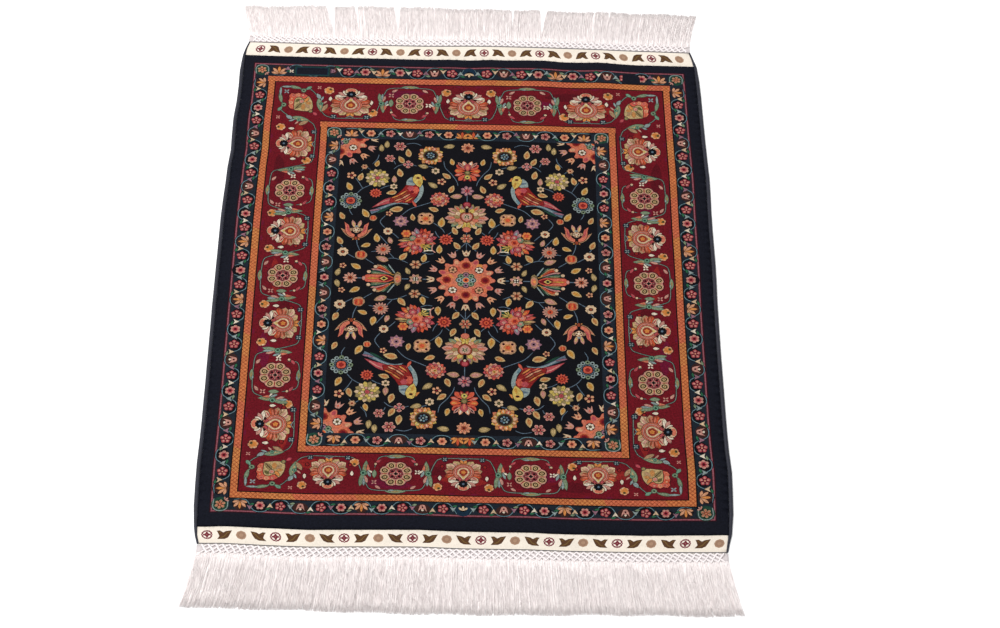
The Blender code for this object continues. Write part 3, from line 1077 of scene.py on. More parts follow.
    def _corner(self, pin: Pin) -> None:
        """Draw one corner, with X and Y pointing out of the rug."""
        c, book = self.cartoon, self.book
        for swap in (False, True):
            spot = pin if not swap else pin.at(0, 0, 90).at(0, 0, tall=-1)
            vine = [(22, 25), (10, 25), (2, 23.4), (-5, 20), (-13, 22.5), (-20, 17), (-26, 9)]
            c.stroke(spot, vine, 1.1, Yarn.VINE, Yarn.INK)
            c.stroke(spot, [(-33, -17), (-38.6, -23.5), (-48, -27)], 1.0, Yarn.VINE, Yarn.INK)
            book.sprig(
                spot,
                ((-3, 22), (15, 25.8), 4.6, Yarn.SAGE, Yarn.PINE, 0.5),
                ((9, 24.6), (24, 24.6), 3.0, Yarn.MIST, Yarn.PINE, 0.5),
                ((-9, 20), (-17, 25.5), 4.6, Yarn.MINT, Yarn.PINE),
            )
            c.edged(spot.at(-6.5, 18.6), around(3.2, 10), Yarn.SAGE, Yarn.PINE, 0.7)
            c.fill(spot.at(-6.5, 18.6), around(1.5, 8), Yarn.PINE)
            for start, end, width, yarn, edge in (
                ((-32.5, -18), (-27, 6), 7.4, Yarn.SAGE, Yarn.PINE),
                ((-32.5, -17), (-40, -4), 5.4, Yarn.TAN, Yarn.PINE),
                ((-31.5, -12), (-29.4, 1), 2.6, Yarn.SAND, None),
                ((-33, -4), (-39, 1.4), 2.6, Yarn.BLUSH, Yarn.INK),
                ((-30.5, 1), (-34, 9.5), 2.8, Yarn.MIST, Yarn.INK),
                ((-24.5, 14), (-30, 5), 5.6, Yarn.MIST, Yarn.INK),
            ):
                book.petal(spot, start, end, width, yarn, edge, 0.55)
            c.edged(spot.at(-31.6, -3.6), around(2.4, 9), Yarn.MINT, Yarn.PINE, 0.7)
            c.fill(spot.at(-31.6, -3.6), around(1.1, 7), Yarn.PINE)
            book.star(spot.at(-27.6, 24.2), 3.4, Yarn.BLUSH, Yarn.ROSE)
        book.petal(pin, (-21, -18), (-27, -23), 4.4, Yarn.ROSE, Yarn.PLUM)
        book.star(pin.at(16.4, 16.4), 4.4, Yarn.MIST, Yarn.STEEL)
        self._square_blossom(pin)

    def _square_blossom(self, pin: Pin) -> None:
        """Draw the corner's blossom: a sand square on the inner side, coral petals outside it."""
        c, book = self.cartoon, self.book
        coral = [(4, -14), (9.6, -12.5), (12.4, -8), (10.8, -4), (13, 0.5), (11.4, 5), (12.6, 9.5)]
        coral += [(9.4, 13.4), (4.6, 12.2), (1, 14.4), (-3.4, 12.6), (-7, 13.6), (-13, 9), (-9, -4)]
        c.edged(pin, coral, Yarn.CORAL, Yarn.MAROON, 1.1)
        chips = (Yarn.SALMON, Yarn.PEACH, Yarn.FLAME, Yarn.SALMON, Yarn.PEACH, Yarn.ROSE)
        places = ((8.4, -9), (9.4, -2.6), (8.6, 4), (6.6, 9.8), (0.6, 10.4), (-6, 10.2))
        for k, (x, y) in enumerate(places):
            c.fill(pin.at(x, y), lobed(3.0, 5, 0.2, 25 * k), chips[k])
            c.fill(pin.at(x, y), lobed(1.5, 4, 0.24, 40 * k), chips[(k + 2) % 6])
        sand = [(3.8, -14.7), (-3.4, -15.8), (-13.8, -16.5), (-20, -12), (-19.6, -4), (-18, 1.8)]
        sand += [(-13.8, 8.4), (-10.3, 5.0), (-6.9, 3.4), (-4.1, 5.8), (0, 6.4), (3.8, 3.8), (4.8, -5)]
        sand = smooth(sand + sand[:1], 2)[:-1]
        c.stack(pin, (grown(sand, 0.9), Yarn.UMBER), (sand, Yarn.SAND))
        for start, end, width, yarn, edge in (
            ((2.6, -13), (-4.6, -3), 5.6, Yarn.KHAKI, Yarn.OLIVE),
            ((-7.6, -15), (-8, -4), 6.0, Yarn.OCHRE, Yarn.KHAKI),
            ((-16.6, -12), (-10, -4), 4.6, Yarn.TAN, Yarn.KHAKI),
            ((-18, -3.6), (-10.4, -2.4), 4.8, Yarn.OCHRE, Yarn.KHAKI),
            ((-14.2, 6.6), (-8.6, -1.6), 4.4, Yarn.APRICOT, Yarn.UMBER),
            ((3.6, -2), (-2, 4.6), 4.6, Yarn.OLIVE, None),
        ):
            book.petal(pin, start, end, width, yarn, edge, 0.5)
        c.stroke(pin, [(3.4, -14), (-1, -8), (-6, -3)], 1.1, Yarn.UMBER)
        c.edged(pin.at(-4.8, 0), around(3.0, 9), Yarn.BLUSH, Yarn.OLIVE, 1.0)
        c.fill(pin.at(-5.2, -0.2), around(1.3, 7), Yarn.SALMON)
        c.edged(pin.at(-18, -16.4), around(2.3, 8), Yarn.KHAKI, Yarn.PINE, 0.8)


class Kind(Enum):
    """The flowers and leaves that the field's table places."""

    LEAF_TAN = "leaf tan"
    LEAF_GOLD = "leaf gold"
    LEAF_BLUSH = "leaf blush"
    LEAF_OLIVE = "leaf olive"
    CREAM_SPRAY = "cream spray"
    PINK_SPRAY = "pink spray"
    TAN_FLOWER = "tan flower"
    PINK_FLOWER = "pink flower"
    PALE_FLOWER = "pale flower"
    ORANGE_ASTER = "orange aster"
    MAUVE_ASTER = "mauve aster"
    RED_BUD = "red bud"
    SUNFLOWER = "sunflower"
    BLUE_RING = "blue ring"
    CHRYSANTHEMUM = "chrysanthemum"
    PEONY = "peony"
    SQUARE_FLOWER = "square flower"
    DIAMOND = "diamond"
    ROUND_FLOWER = "round flower"


LEAVES: dict[Kind, Tones] = {
    Kind.LEAF_TAN: LEAF_TAN, Kind.LEAF_GOLD: LEAF_GOLD, Kind.LEAF_BLUSH: LEAF_BLUSH,
    Kind.LEAF_OLIVE: LEAF_OLIVE
}
# How many petals each simple flower has, and its yarns
SPRAYS: dict[Kind, tuple[int, Tones]] = {
    Kind.CREAM_SPRAY: (6, (Yarn.CREAM, Yarn.OLIVE)), Kind.PINK_SPRAY: (5, (Yarn.PEACH, Yarn.CRIMSON)),
    Kind.PALE_FLOWER: (8, (Yarn.CREAM, Yarn.RUST))
}
ROUNDS: dict[Kind, tuple[int, Tones]] = {
    Kind.TAN_FLOWER: (6, (Yarn.TAN, Yarn.PEACH, Yarn.RUST, Yarn.INK)),
    Kind.PINK_FLOWER: (6, (Yarn.BLUSH, Yarn.ROSE, Yarn.CRIMSON, Yarn.PEACH)),
    Kind.DIAMOND: (4, (Yarn.BLUSH, Yarn.ROSE, Yarn.MAUVE, Yarn.PEACH)),
    Kind.ROUND_FLOWER: (14, (Yarn.BLUSH, Yarn.TAN, Yarn.FLAME, Yarn.CRIMSON)),
}
ASTERS: dict[Kind, tuple[int, Tones]] = {
    Kind.ORANGE_ASTER: (11, (Yarn.CORAL, Yarn.BRICK, Yarn.FLAME, Yarn.CRIMSON)),
    Kind.MAUVE_ASTER: (8, (Yarn.MAUVE, Yarn.BLUSH, Yarn.MAUVE, Yarn.INK)),
}


@dataclass
class Field:
    """The dark field: a star medallion, and flowers, leaves and birds mirrored both ways."""

    cartoon: Cartoon
    layout: Layout
    bulge: float = 4.5
    bulge_place: float = 0.64
    medallion: float = 36.5

    # The flowers and leaves of one quarter: out from the middle each way, turned and sized
    QUARTER: tuple[tuple[Kind, float, float, float, float], ...] = (
        (Kind.LEAF_GOLD, 53.5, 35, 95, 14), (Kind.LEAF_GOLD, 34.5, 50.5, 85, 14.5),
        (Kind.LEAF_TAN, 12.5, 57, 50, 14), (Kind.LEAF_OLIVE, 73.5, 13, 60, 12),
        (Kind.LEAF_TAN, 79.5, 37.5, 120, 15), (Kind.TAN_FLOWER, 63.5, 24, 0, 7.6),
        (Kind.LEAF_GOLD, 138.5, 19, 25, 15), (Kind.PINK_SPRAY, 154.5, 20, 0, 4.6),
        (Kind.LEAF_OLIVE, 160.5, 9.5, 100, 13), (Kind.LEAF_BLUSH, 106, 32, 15, 17),
        (Kind.ROUND_FLOWER, 105, 48.5, 0, 10.2), (Kind.RED_BUD, 132.5, 38, 0, 8),
        (Kind.PALE_FLOWER, 155.5, 43, 0, 7.4), (Kind.LEAF_GOLD, 127, 54.5, -28, 13),
        (Kind.LEAF_GOLD, 114, 68, 75, 15), (Kind.LEAF_BLUSH, 97, 64, 65, 12),
        (Kind.LEAF_TAN, 160.5, 62, 60, 14), (Kind.PALE_FLOWER, 100, 80, 0, 6.2),
        (Kind.ORANGE_ASTER, 26, 67.5, 0, 9.4), (Kind.LEAF_TAN, 15.5, 83, 60, 14),
        (Kind.LEAF_GOLD, 32.5, 98, 90, 17), (Kind.SQUARE_FLOWER, 52.5, 104, 0, 11.5),
        (Kind.MAUVE_ASTER, 84, 98.5, 0, 10.5), (Kind.LEAF_TAN, 69.5, 106, 75, 12),
        (Kind.PINK_SPRAY, 99.5, 112, 0, 4.6), (Kind.RED_BUD, 119.5, 103, 0, 5),
        (Kind.LEAF_GOLD, 130, 111.5, 55, 16), (Kind.LEAF_TAN, 159.5, 106, 60, 13),
        (Kind.LEAF_TAN, 43, 121, 15, 14), (Kind.LEAF_TAN, 90.5, 119.5, -18, 18),
        (Kind.PEONY, 35, 139.5, 0, 12.8), (Kind.LEAF_BLUSH, 14, 145, -14, 16),
        (Kind.LEAF_TAN, 20.5, 158, 105, 14), (Kind.LEAF_OLIVE, 45, 164, 30, 15),
        (Kind.PINK_SPRAY, 33.5, 170.5, 0, 6), (Kind.LEAF_TAN, 27.5, 180, 35, 14),
        (Kind.CREAM_SPRAY, 41.5, 188.5, 0, 5.8), (Kind.LEAF_OLIVE, 58, 195.5, 8, 14),
        (Kind.DIAMOND, 77.5, 198.5, 0, 7), (Kind.SUNFLOWER, 48.5, 214.5, 0, 15.8),
        (Kind.LEAF_OLIVE, 24.5, 230, -15, 15), (Kind.LEAF_GOLD, 20.5, 204, 70, 12),
        (Kind.LEAF_TAN, 78, 218, 75, 15), (Kind.LEAF_TAN, 87, 206, 55, 14),
        (Kind.PINK_FLOWER, 89, 229, 0, 8.4), (Kind.LEAF_OLIVE, 106.5, 232, 85, 13),
        (Kind.PINK_FLOWER, 101.5, 208, 0, 7), (Kind.LEAF_OLIVE, 113.5, 225.5, 80, 13),
        (Kind.LEAF_GOLD, 118, 199, 100, 12), (Kind.LEAF_TAN, 88, 184, 70, 15),
        (Kind.LEAF_BLUSH, 95, 173, 80, 13), (Kind.CREAM_SPRAY, 95, 160.5, 0, 5.2),
        (Kind.LEAF_TAN, 97.5, 149.5, -20, 14), (Kind.ORANGE_ASTER, 118, 148.5, 0, 8.2),
        (Kind.BLUE_RING, 149.5, 134, 0, 14.4), (Kind.CHRYSANTHEMUM, 116.5, 174.5, 0, 15.5),
        (Kind.LEAF_GOLD, 152.5, 159, 60, 15), (Kind.LEAF_TAN, 138.5, 176, 100, 14),
        (Kind.PINK_SPRAY, 150.5, 178, 0, 6.4), (Kind.TAN_FLOWER, 134, 193, 0, 4.6)
    )

    # Thin stems, each a line through a few places of the quarter
    STEMS: tuple[tuple[Point, ...], ...] = (
        ((73, 26), (82, 31), (92, 34), (102, 32)), ((91, 34), (95, 40), (99, 45)),
        ((116, 24), (124, 30), (130, 36)), ((140, 33), (147, 38), (153, 41)),
        ((134, 45), (138, 56), (139, 66)), ((86, 68), (92, 75), (98, 79)),
        ((104, 86), (109, 93), (110, 99), (104, 108)), ((146, 108), (150, 116), (149, 122)),
        ((46, 134), (59, 128), (73, 121), (83, 110)), ((142, 147), (135, 156), (122, 164)),
        ((135, 156), (140, 166), (145, 174)), ((12, 164), (14, 172), (21, 184), (29, 194), (31, 205)),
        ((28, 79), (32, 87), (43, 97)), ((41, 43), (48, 42), (56, 45)), ((43, 46), (44, 52), (43, 58)),
        ((96, 190), (90, 196), (84, 198)), ((94, 198), (96, 203), (100, 206)),
        ((61, 231), (70, 235), (81, 233)), ((124, 198), (118, 206), (116, 214)),
        ((34, 70), (38, 76), (40, 82)), ((46, 30), (54, 26), (58, 24)),
        ((13, 48), (9, 52), (4, 58), (0, 64)), ((154, 48), (158, 54), (160, 60)),
        ((24, 76), (20, 80), (16, 84)), ((100, 58), (104, 64), (110, 72)),
        ((120, 44), (112, 46), (108, 52)), ((112, 156), (106, 160), (100, 162)),
        ((44, 194), (50, 196), (56, 196)), ((66, 196), (72, 198), (76, 198)),
        ((126, 188), (132, 192), (138, 186))
    )

    def draw(self) -> None:
        """Draw the whole field."""
        self.book = MotifBook(self.cartoon)
        middle = Pin().at(*self.layout.field_middle())
        half_u, half_v = self.layout.field_half()
        for across in (1, -1):
            for along in (1, -1):
                quarter = middle.at(0, 0, wide=across, tall=along)
                self._quarter(quarter, along, half_v)
        for across in (1, -1):
            self._cross_axis(middle.at(0, 0, wide=across))
        for along in (1, -1):
            self._long_axis(middle.at(0, 0, tall=along), along, half_v)
        for across in (1, -1):
            for along in (1, -1):
                corner = middle.at(across * half_u, along * half_v, wide=across, tall=along)
                self._medallion(corner)
        self._medallion(middle)

    def _lift(self, v: float, along: int, half_v: float) -> float:
        """Return a place along the field, drawn in at the far half and let out at the near."""
        share = v / half_v / self.bulge_place
        shift = self.bulge * math.exp(-(((share - 1) / 0.42) ** 2))
        return v - along * shift

    def _quarter(self, pin: Pin, along: int, half_v: float) -> None:
        """Draw the stems, flowers, leaves and bird of one quarter."""
        for stem in self.STEMS:
            path = [(u, self._lift(v, along, half_v)) for u, v in stem]
            self.cartoon.stroke(pin, path, 1.0, Yarn.STEEL, None, 3)
        for kind, u, v, turn, size in self.QUARTER:
            self._bloom(pin.at(u, self._lift(v, along, half_v), turn), kind, size)
        self._carnation(pin.at(62, self._lift(64, along, half_v)))
        self._lily(pin.at(140, self._lift(80, along, half_v)))
        self._bird(pin.at(0, -along * self.bulge))

    def _bloom(self, pin: Pin, kind: Kind, size: float) -> None:
        """Draw one flower or leaf of the table."""
        book = self.book
        if kind in LEAVES:
            book.leaf(pin, size, LEAVES[kind])
        elif kind in SPRAYS:
            count, tones = SPRAYS[kind]
            book.cluster(pin, size, count, *tones)
        elif kind in ROUNDS:
            book.rosette(pin, size, *ROUNDS[kind])
        elif kind in ASTERS:
            book.aster(pin, size, *ASTERS[kind])
        else:
            special = {
                Kind.RED_BUD: self._red_bud, Kind.SUNFLOWER: self._sunflower,
                Kind.BLUE_RING: self._blue_ring, Kind.CHRYSANTHEMUM: self._chrysanthemum,
                Kind.PEONY: self._peony, Kind.SQUARE_FLOWER: self._square_flower
            }
            special[kind](pin, size)

    def _red_bud(self, pin: Pin, size: float) -> None:
        """Draw a closed orange-red bud in a tan cup."""
        c, book = self.cartoon, self.book
        c.edged(pin, lobed(size * 0.98, 5, 0.1, 36), Yarn.TAN)
        c.fill(pin.at(0, size * 0.1), lobed(size * 0.76, 4, 0.16, 45), Yarn.FLAME)
        for shift in (-0.34, 0.0, 0.34):
            start, end = (shift * size, -size * 0.5), (shift * size * 1.3, size * 0.62)
            book.petal(pin, start, end, size * 0.2, Yarn.BRICK if shift else Yarn.APRICOT)

    def _sunflower(self, pin: Pin, size: float) -> None:
        """Draw the sunflower with its dark ringed seed head."""
        c, book = self.cartoon, self.book
        c.fill(pin, around(size * 0.86, 22), Yarn.INK)
        tones = (Yarn.APRICOT, Yarn.LEMON, Yarn.OCHRE, Yarn.PEACH, Yarn.APRICOT, Yarn.SALMON)
        for row in (0, 1):
            for k in range(12):
                angle = math.radians(30 * k + 15 * row + 7)
                reach = size * (1.04 + 0.05 * ((k * 5 + row) % 3) - 0.12 * row)
                tip = polar(reach, angle)
                yarn = tones[(k * 5 + row * 2) % 6]
                book.petal(pin, (0, 0), tip, size * 0.4, yarn, Yarn.UMBER, 0.74)
                book.petal(
                    pin,
                    (tip[0] * 0.6, tip[1] * 0.6),
                    (tip[0] * 0.92, tip[1] * 0.92),
                    size * 0.13,
                    Yarn.CREAM if row else Yarn.OCHRE,
                )
        c.stack(
            pin,
            (around(size * 0.6, 18, 1.08), Yarn.OLIVE),
            (around(size * 0.53, 18, 1.08), Yarn.UMBER),
            (around(size * 0.43, 16, 1.08), Yarn.INK),
        )
        for k, spot in enumerate(spread(pin, 7, size * 0.26)):
            c.fill(spot, around(size * 0.1, 6), (Yarn.STEEL, Yarn.MIST, Yarn.SKY)[k % 3])
        c.fill(pin, around(size * 0.1, 6), Yarn.MIST)

    def _blue_ring(self, pin: Pin, size: float) -> None:
        """Draw the flower of grey-blue rings round a red heart."""
        c = self.cartoon
        c.fill(pin, around(size + 0.6, 22), Yarn.INK)
        for k, spot in enumerate(spread(pin, 12, size * 0.8)):
            c.fill(spot, around(size * 0.21, 8), Yarn.MIST if k % 3 else Yarn.SAGE)
            c.fill(spot, around(size * 0.1, 6), Yarn.MIDNIGHT)
        c.stack(
            pin,
            (lobed(size * 0.6, 12, 0.14, 15), Yarn.STEEL),
            (around(size * 0.5, 16), Yarn.INK),
            (lobed(size * 0.42, 4, 0.12, 45), Yarn.CORAL),
            (lobed(size * 0.24, 4, 0.12), Yarn.BRICK),
        )

    def _chrysanthemum(self, pin: Pin, size: float) -> None:
        """Draw the cream flower of three rings of round petals."""
        c, book = self.cartoon, self.book
        rings = (
            (1.02, 14, 0, (Yarn.CREAM, Yarn.KHAKI, Yarn.LEMON)),
            (0.76, 12, 13, (Yarn.LEMON, Yarn.CREAM, Yarn.KHAKI)),
            (0.52, 9, 5, (Yarn.CREAM, Yarn.BLUSH, Yarn.LEMON)),
        )
        c.fill(pin, around(size * 0.9, 22), Yarn.INK)
        for share, count, turn, tones in rings:
            for k in range(count):
                angle = math.radians(turn + 360 * k / count)
                tip = polar(size * share, angle)
                width = size * share * 4.6 / count
                book.petal(pin, (0, 0), tip, width, tones[k % 3], Yarn.OLIVE, 0.8)
        c.stack(
            pin,
            (around(size * 0.27, 10), Yarn.OLIVE),
            (around(size * 0.2, 9), Yarn.ROSE),
            (around(size * 0.08, 6), Yarn.CRIMSON),
        )

    def _peony(self, pin: Pin, size: float) -> None:
        """Draw the full pink flower with ragged petals and a small dark eye."""
        c, book = self.cartoon, self.book
        tones = (Yarn.BLUSH, Yarn.SALMON, Yarn.PEACH, Yarn.ROSE, Yarn.CORAL)
        for row, reach in enumerate((1.06, 0.82, 0.56)):
            count = 13 - 3 * row
            for k in range(count):
                angle = math.radians(360 * (k + 0.5 * row) / count + 5)
                long = size * (reach + 0.05 * ((k * 3) % 3 - 1))
                tip = polar(long, angle)
                yarn = tones[(k * 3 + row * 2) % 5]
                book.petal(pin, (0, 0), tip, size * 0.46, yarn, Yarn.MAROON, 0.76)
        c.stack(
            pin.at(1.0, 0.6),
            (around(size * 0.24, 9), Yarn.PEACH),
            (around(size * 0.15, 8), Yarn.GOLD),
            (around(size * 0.08, 6), Yarn.INK),
        )

    def _square_flower(self, pin: Pin, size: float) -> None:
        """Draw the flower with four broad petals and a dark spot in each."""
        c = self.cartoon
        c.edged(pin, lobed(size, 4, 0.16, 45), Yarn.TAN)
        c.fill(pin, lobed(size * 0.84, 4, 0.2, 45), Yarn.PEACH)
        for spot in spread(pin, 4, size * 0.66, 45):
            c.fill(spot, around(size * 0.16, 7), Yarn.MAROON)
        c.stack(pin, (lobed(size * 0.5, 6, 0.2), Yarn.OCHRE), (lobed(size * 0.3, 5, 0.2), Yarn.FLAME))

    def _carnation(self, pin: Pin) -> None:
        """Draw the big ragged carnation with its orange side flower and striped calyx."""
        c, book = self.cartoon, self.book
        root = (-3.0, -1.0)
        petals = (
            ((-24.5, 7.0), 6.4, Yarn.ROSE, Yarn.BLUSH), ((-23.5, -4.0), 5.6, Yarn.CORAL, Yarn.TAN),
            ((-20.0, 13.5), 5.0, Yarn.BLUSH, Yarn.ROSE), ((-16.0, 17.5), 5.4, Yarn.CORAL, Yarn.FLAME),
            ((-10.0, 21.0), 6.0, Yarn.FLAME, Yarn.CORAL), ((-5.0, 21.5), 5.2, Yarn.BRICK, Yarn.CORAL),
            ((-1.5, 18.0), 4.4, Yarn.FLAME, Yarn.ROSE), ((3.0, 22.0), 6.6, Yarn.MAUVE, Yarn.MIST),
            ((7.5, 16.0), 5.0, Yarn.BLUSH, Yarn.MAUVE), ((19.5, 4.0), 4.6, Yarn.KHAKI, Yarn.OLIVE),
            ((25.0, 0.5), 4.2, Yarn.TAN, Yarn.LEMON), ((18.5, -3.5), 5.0, Yarn.BLUSH, Yarn.OLIVE),
            ((25.0, -7.0), 5.8, Yarn.CORAL, Yarn.ROSE), ((22.5, -11.5), 4.2, Yarn.ROSE, Yarn.BLUSH),
            ((17.5, -18.0), 6.4, Yarn.FLAME, Yarn.APRICOT), ((10.5, -19.5), 5.6, Yarn.TAN, Yarn.KHAKI),
            ((6.5, -23.5), 6.0, Yarn.CORAL, Yarn.BLUSH), ((1.5, -22.5), 5.2, Yarn.FLAME, Yarn.CORAL),
            ((-4.0, -19.5), 5.4, Yarn.ROSE, Yarn.MAUVE)
        )
        for tip, width, outer, inner in petals:
            book.petal(pin, root, tip, width, outer, Yarn.MAROON, 0.72)
            base = (tip[0] * 0.3 - 2.0, tip[1] * 0.3)
            point = (tip[0] * 0.84 - 0.3, tip[1] * 0.84)
            book.petal(pin, base, point, width * 0.42, inner, None, 0.6)
        ring = (
            (-14.5, 2.5, 6.6, Yarn.ROSE), (-9.0, 8.5, 6.2, Yarn.CORAL), (-1.5, 8.5, 5.2, Yarn.ROSE),
            (6.0, 4.5, 5.4, Yarn.SAGE), (8.5, -5.0, 5.8, Yarn.SALMON), (3.0, -11.0, 6.0, Yarn.ROSE)
        )
        for x, y, radius, yarn in ring:
            spot = pin.at(x, y, 15 * x)
            c.stack(
                spot,
                (lobed(radius, 5, 0.24), Yarn.MAROON),
                (lobed(radius * 0.86, 5, 0.26), yarn),
                (lobed(radius * 0.4, 5, 0.3, 36), Yarn.BLUSH),
            )
        c.edged(pin.at(-2.5, -1.0), lobed(7.4, 7, 0.2), Yarn.SALMON, Yarn.BRICK, 0.7)
        c.stack(pin.at(-1.0, 0.0), (lobed(4.6, 6, 0.25), Yarn.FLAME), (lobed(2.6, 5, 0.3), Yarn.BRICK))
        c.fill(pin.at(-7.0, -8.0), around(3.6, 9), Yarn.GOLD)
        c.edged(pin.at(-13.5, -12.0), lobed(6.0, 6, 0.2), Yarn.PINE, Yarn.INK, 0.6)
        for tip in ((-17, -6), (-17.5, -10.5), (-14.5, -15.5), (-10, -17.0)):
            book.petal(pin, (-7.5, -7.5), tip, 1.9, Yarn.LEMON, Yarn.INK)
        c.stroke(pin, [(-20, -4), (-18.5, -10), (-19, -15), (-23, -19)], 1.5, Yarn.BLUSH)
        c.stroke(pin, [(-19, -16), (-14, -15.5), (-8, -17)], 1.5, Yarn.IVORY)
        tones = (Yarn.APRICOT, Yarn.FLAME, Yarn.FLAME, Yarn.CORAL)
        book.rosette(pin.at(14.5, 12.0), 6.2, 6, tones, Yarn.BRICK)

    def _lily(self, pin: Pin) -> None:
        """Draw the pink lily that opens along Y, with its jewelled heart."""
        c, book = self.cartoon, self.book
        for hand in (1, -1):
            side = pin.at(0, 0, wide=hand)
            sepal = smooth([(2, -14), (9, -11), (15, -5), (20, 4)])
            back = smooth([(15, 1), (9, -3), (4, -7)])
            c.edged(side, sepal + back, Yarn.TAN, Yarn.INK, 0.7)
            c.stroke(side, [(6, -10), (12, -5.5), (17, 0.5)], 1.4, Yarn.SALMON)
            petal = smooth([(2, -12), (9, -9), (13.5, -2), (14, 6), (15.5, 14)])
            inner = smooth([(10, 9), (8.5, 2), (6, -4), (2, -7)])
            c.edged(side, petal + inner, Yarn.SALMON, Yarn.MAROON, 0.8)
            stripe = smooth([(8.8, -3), (11.8, 1), (12.2, 7), (13.6, 11.5)])
            c.fill(side, stripe + smooth([(10.8, 8), (9.6, 2), (7, -3)]), Yarn.ROSE)
            book.petal(side, (1.5, 2), (5.4, 17.5), 4.6, Yarn.BLUSH, Yarn.UMBER, 0.6)
            book.petal(side, (2.4, 4), (4.8, 14.5), 1.8, Yarn.LEMON)
            c.edged(side.at(5.2, 1.6), around(2.7, 8, 1.3), Yarn.TAN, Yarn.UMBER, 0.5)
        c.fill(pin.at(0, 6), around(2.6, 8), Yarn.MIST)
        c.edged(pin.at(0, 1.0), around(4.7, 12), Yarn.CREAM, Yarn.MAROON, 0.8)
        for k, spot in enumerate(spread(pin.at(0, 1.0), 5, 3.0, 90)):
            c.fill(spot, around(1.05, 6), (Yarn.CRIMSON, Yarn.INK)[k % 2])
        c.fill(pin.at(0, 1.0), around(1.4, 7), Yarn.IVORY)
        for hand in (1, -1):
            book.petal(pin, (0, -11), (hand * 4.6, -16), 2.6, Yarn.OCHRE, Yarn.INK)
        c.edged(pin.at(0, -13.0), around(2.9, 8, 0.8), Yarn.RUST, Yarn.INK)

    def _bird(self, pin: Pin) -> None:
        """Draw the bird: a yellow head, a grey-blue breast line and a gold-striped wing."""
        c, book = self.cartoon, self.book
        breast = smooth([(60, 168), (56.5, 160), (57, 150), (60, 141), (66, 132)])
        breast += smooth([(71.5, 134), (65, 142), (62.5, 150), (63, 162)])
        c.edged(pin, breast, Yarn.MIST, Yarn.INK, 0.7)
        c.fill(pin.at(63, 142, -58), blade(12, 3.2), Yarn.SKY)
        tail = smooth([(74, 129), (86, 131), (100, 126), (113, 117), (122, 112)])
        under = smooth([(124, 118), (112, 124), (98, 131), (84, 136)])
        c.edged(pin, tail + under, Yarn.STEEL, Yarn.INK, 0.7)
        c.stroke(pin, [(76, 131), (88, 132.5), (100, 128.5), (116, 118)], 1.6, Yarn.MIST)
        book.petal(pin, (96, 126), (116, 113.5), 3.4, Yarn.PINE, Yarn.INK)
        book.petal(pin, (110, 121), (125, 117.5), 3.0, Yarn.MAUVE, Yarn.INK)
        plume = smooth([(94, 142), (104, 139), (113, 132), (122, 123)])
        plume += smooth([(112, 127), (102, 130), (90, 134)])
        c.edged(pin, plume, Yarn.ROSE, Yarn.MAROON, 0.6)
        c.stroke(pin, [(98, 138), (107, 134), (116, 127)], 1.3, Yarn.BLUSH)
        body = smooth([(63, 165), (62.5, 152), (67, 142), (72, 133), (84, 133)])
        body += smooth([(99, 133), (98, 139), (90, 147), (83, 156), (77, 166), (70, 168)])
        c.edged(pin, body, Yarn.BRICK, Yarn.MAROON, 0.8)
        c.fill(pin.at(68, 155), lobed(6.4, 6, 0.2), Yarn.CORAL)
        c.fill(pin.at(73, 158), lobed(4.6, 6, 0.25), Yarn.ROSE)
        c.fill(pin.at(71, 152), around(2.6, 7), Yarn.CRIMSON)
        book.petal(pin, (71, 137), (65, 126), 3.6, Yarn.CORAL, Yarn.MAROON)
        tones = (Yarn.APRICOT, Yarn.CORAL, Yarn.PEACH, Yarn.RUST)
        for k in range(5):
            x, y = 68.5 + 2.1 * k, 143.0 + 2.9 * k
            book.petal(pin, (x, y), (x + 11.5, y - 9.5), 2.5, tones[k % 4], Yarn.MAROON)
        for k in range(4):
            x, y = 80.0 + 2.0 * k, 138.0 + 2.7 * k
            book.petal(pin, (x, y), (x + 11.5, y - 5.8), 2.3, tones[(k + 1) % 4], Yarn.MAROON)
        neck = smooth([(64, 176), (72, 178), (78, 172), (79, 164)])
        neck += smooth([(70, 163), (63, 167)])
        c.edged(pin, neck, Yarn.MIST, Yarn.INK, 0.5)
        c.fill(pin.at(66, 169, 8), blade(12, 3.4), Yarn.STEEL)
        beak = [(60.5, 180), (57, 179), (53.5, 173), (58.5, 174)]
        c.edged(pin, beak, Yarn.APRICOT, Yarn.INK, 0.5)
        head = smooth([(61, 160), (58, 168), (58.5, 177), (62, 183), (68, 182)])
        head += smooth([(71, 176), (69.5, 169), (65, 163)])
        c.edged(pin, head, Yarn.LEMON, Yarn.INK, 0.5)
        c.fill(pin.at(61, 163, 78), blade(10, 4.0), Yarn.GOLD)
        c.stack(pin.at(64.0, 176.5), (around(2.3, 9, 1.3), Yarn.OCHRE), (around(1.5, 8, 1.5), Yarn.INK))

    def _cross_axis(self, pin: Pin) -> None:
        """Draw the flowers on the field's cross axis, which X follows outward."""
        c, book = self.cartoon, self.book
        for start, end in ((46, 56), (70, 80), (127, 137)):
            c.fill(pin, [(start, -0.7), (end, -0.7), (end, 0.7), (start, 0.7)], Yarn.STEEL)
        c.fill(pin.at(63, 0), around(9, 14), Yarn.INK)
        book.petals(pin.at(63, 0), 8, 8.6, 4.4, [Yarn.TAN, Yarn.BLUSH], 22.5)
        book.cluster(pin.at(63, 0), 3.4, 4, Yarn.IVORY, Yarn.INK)
        tones = (Yarn.BLUSH, Yarn.PEACH, Yarn.RUST, Yarn.INK)
        book.rosette(pin.at(144.5, 0), 9.2, 10, tones)
        self._striped_palmette(pin.at(81, 0))

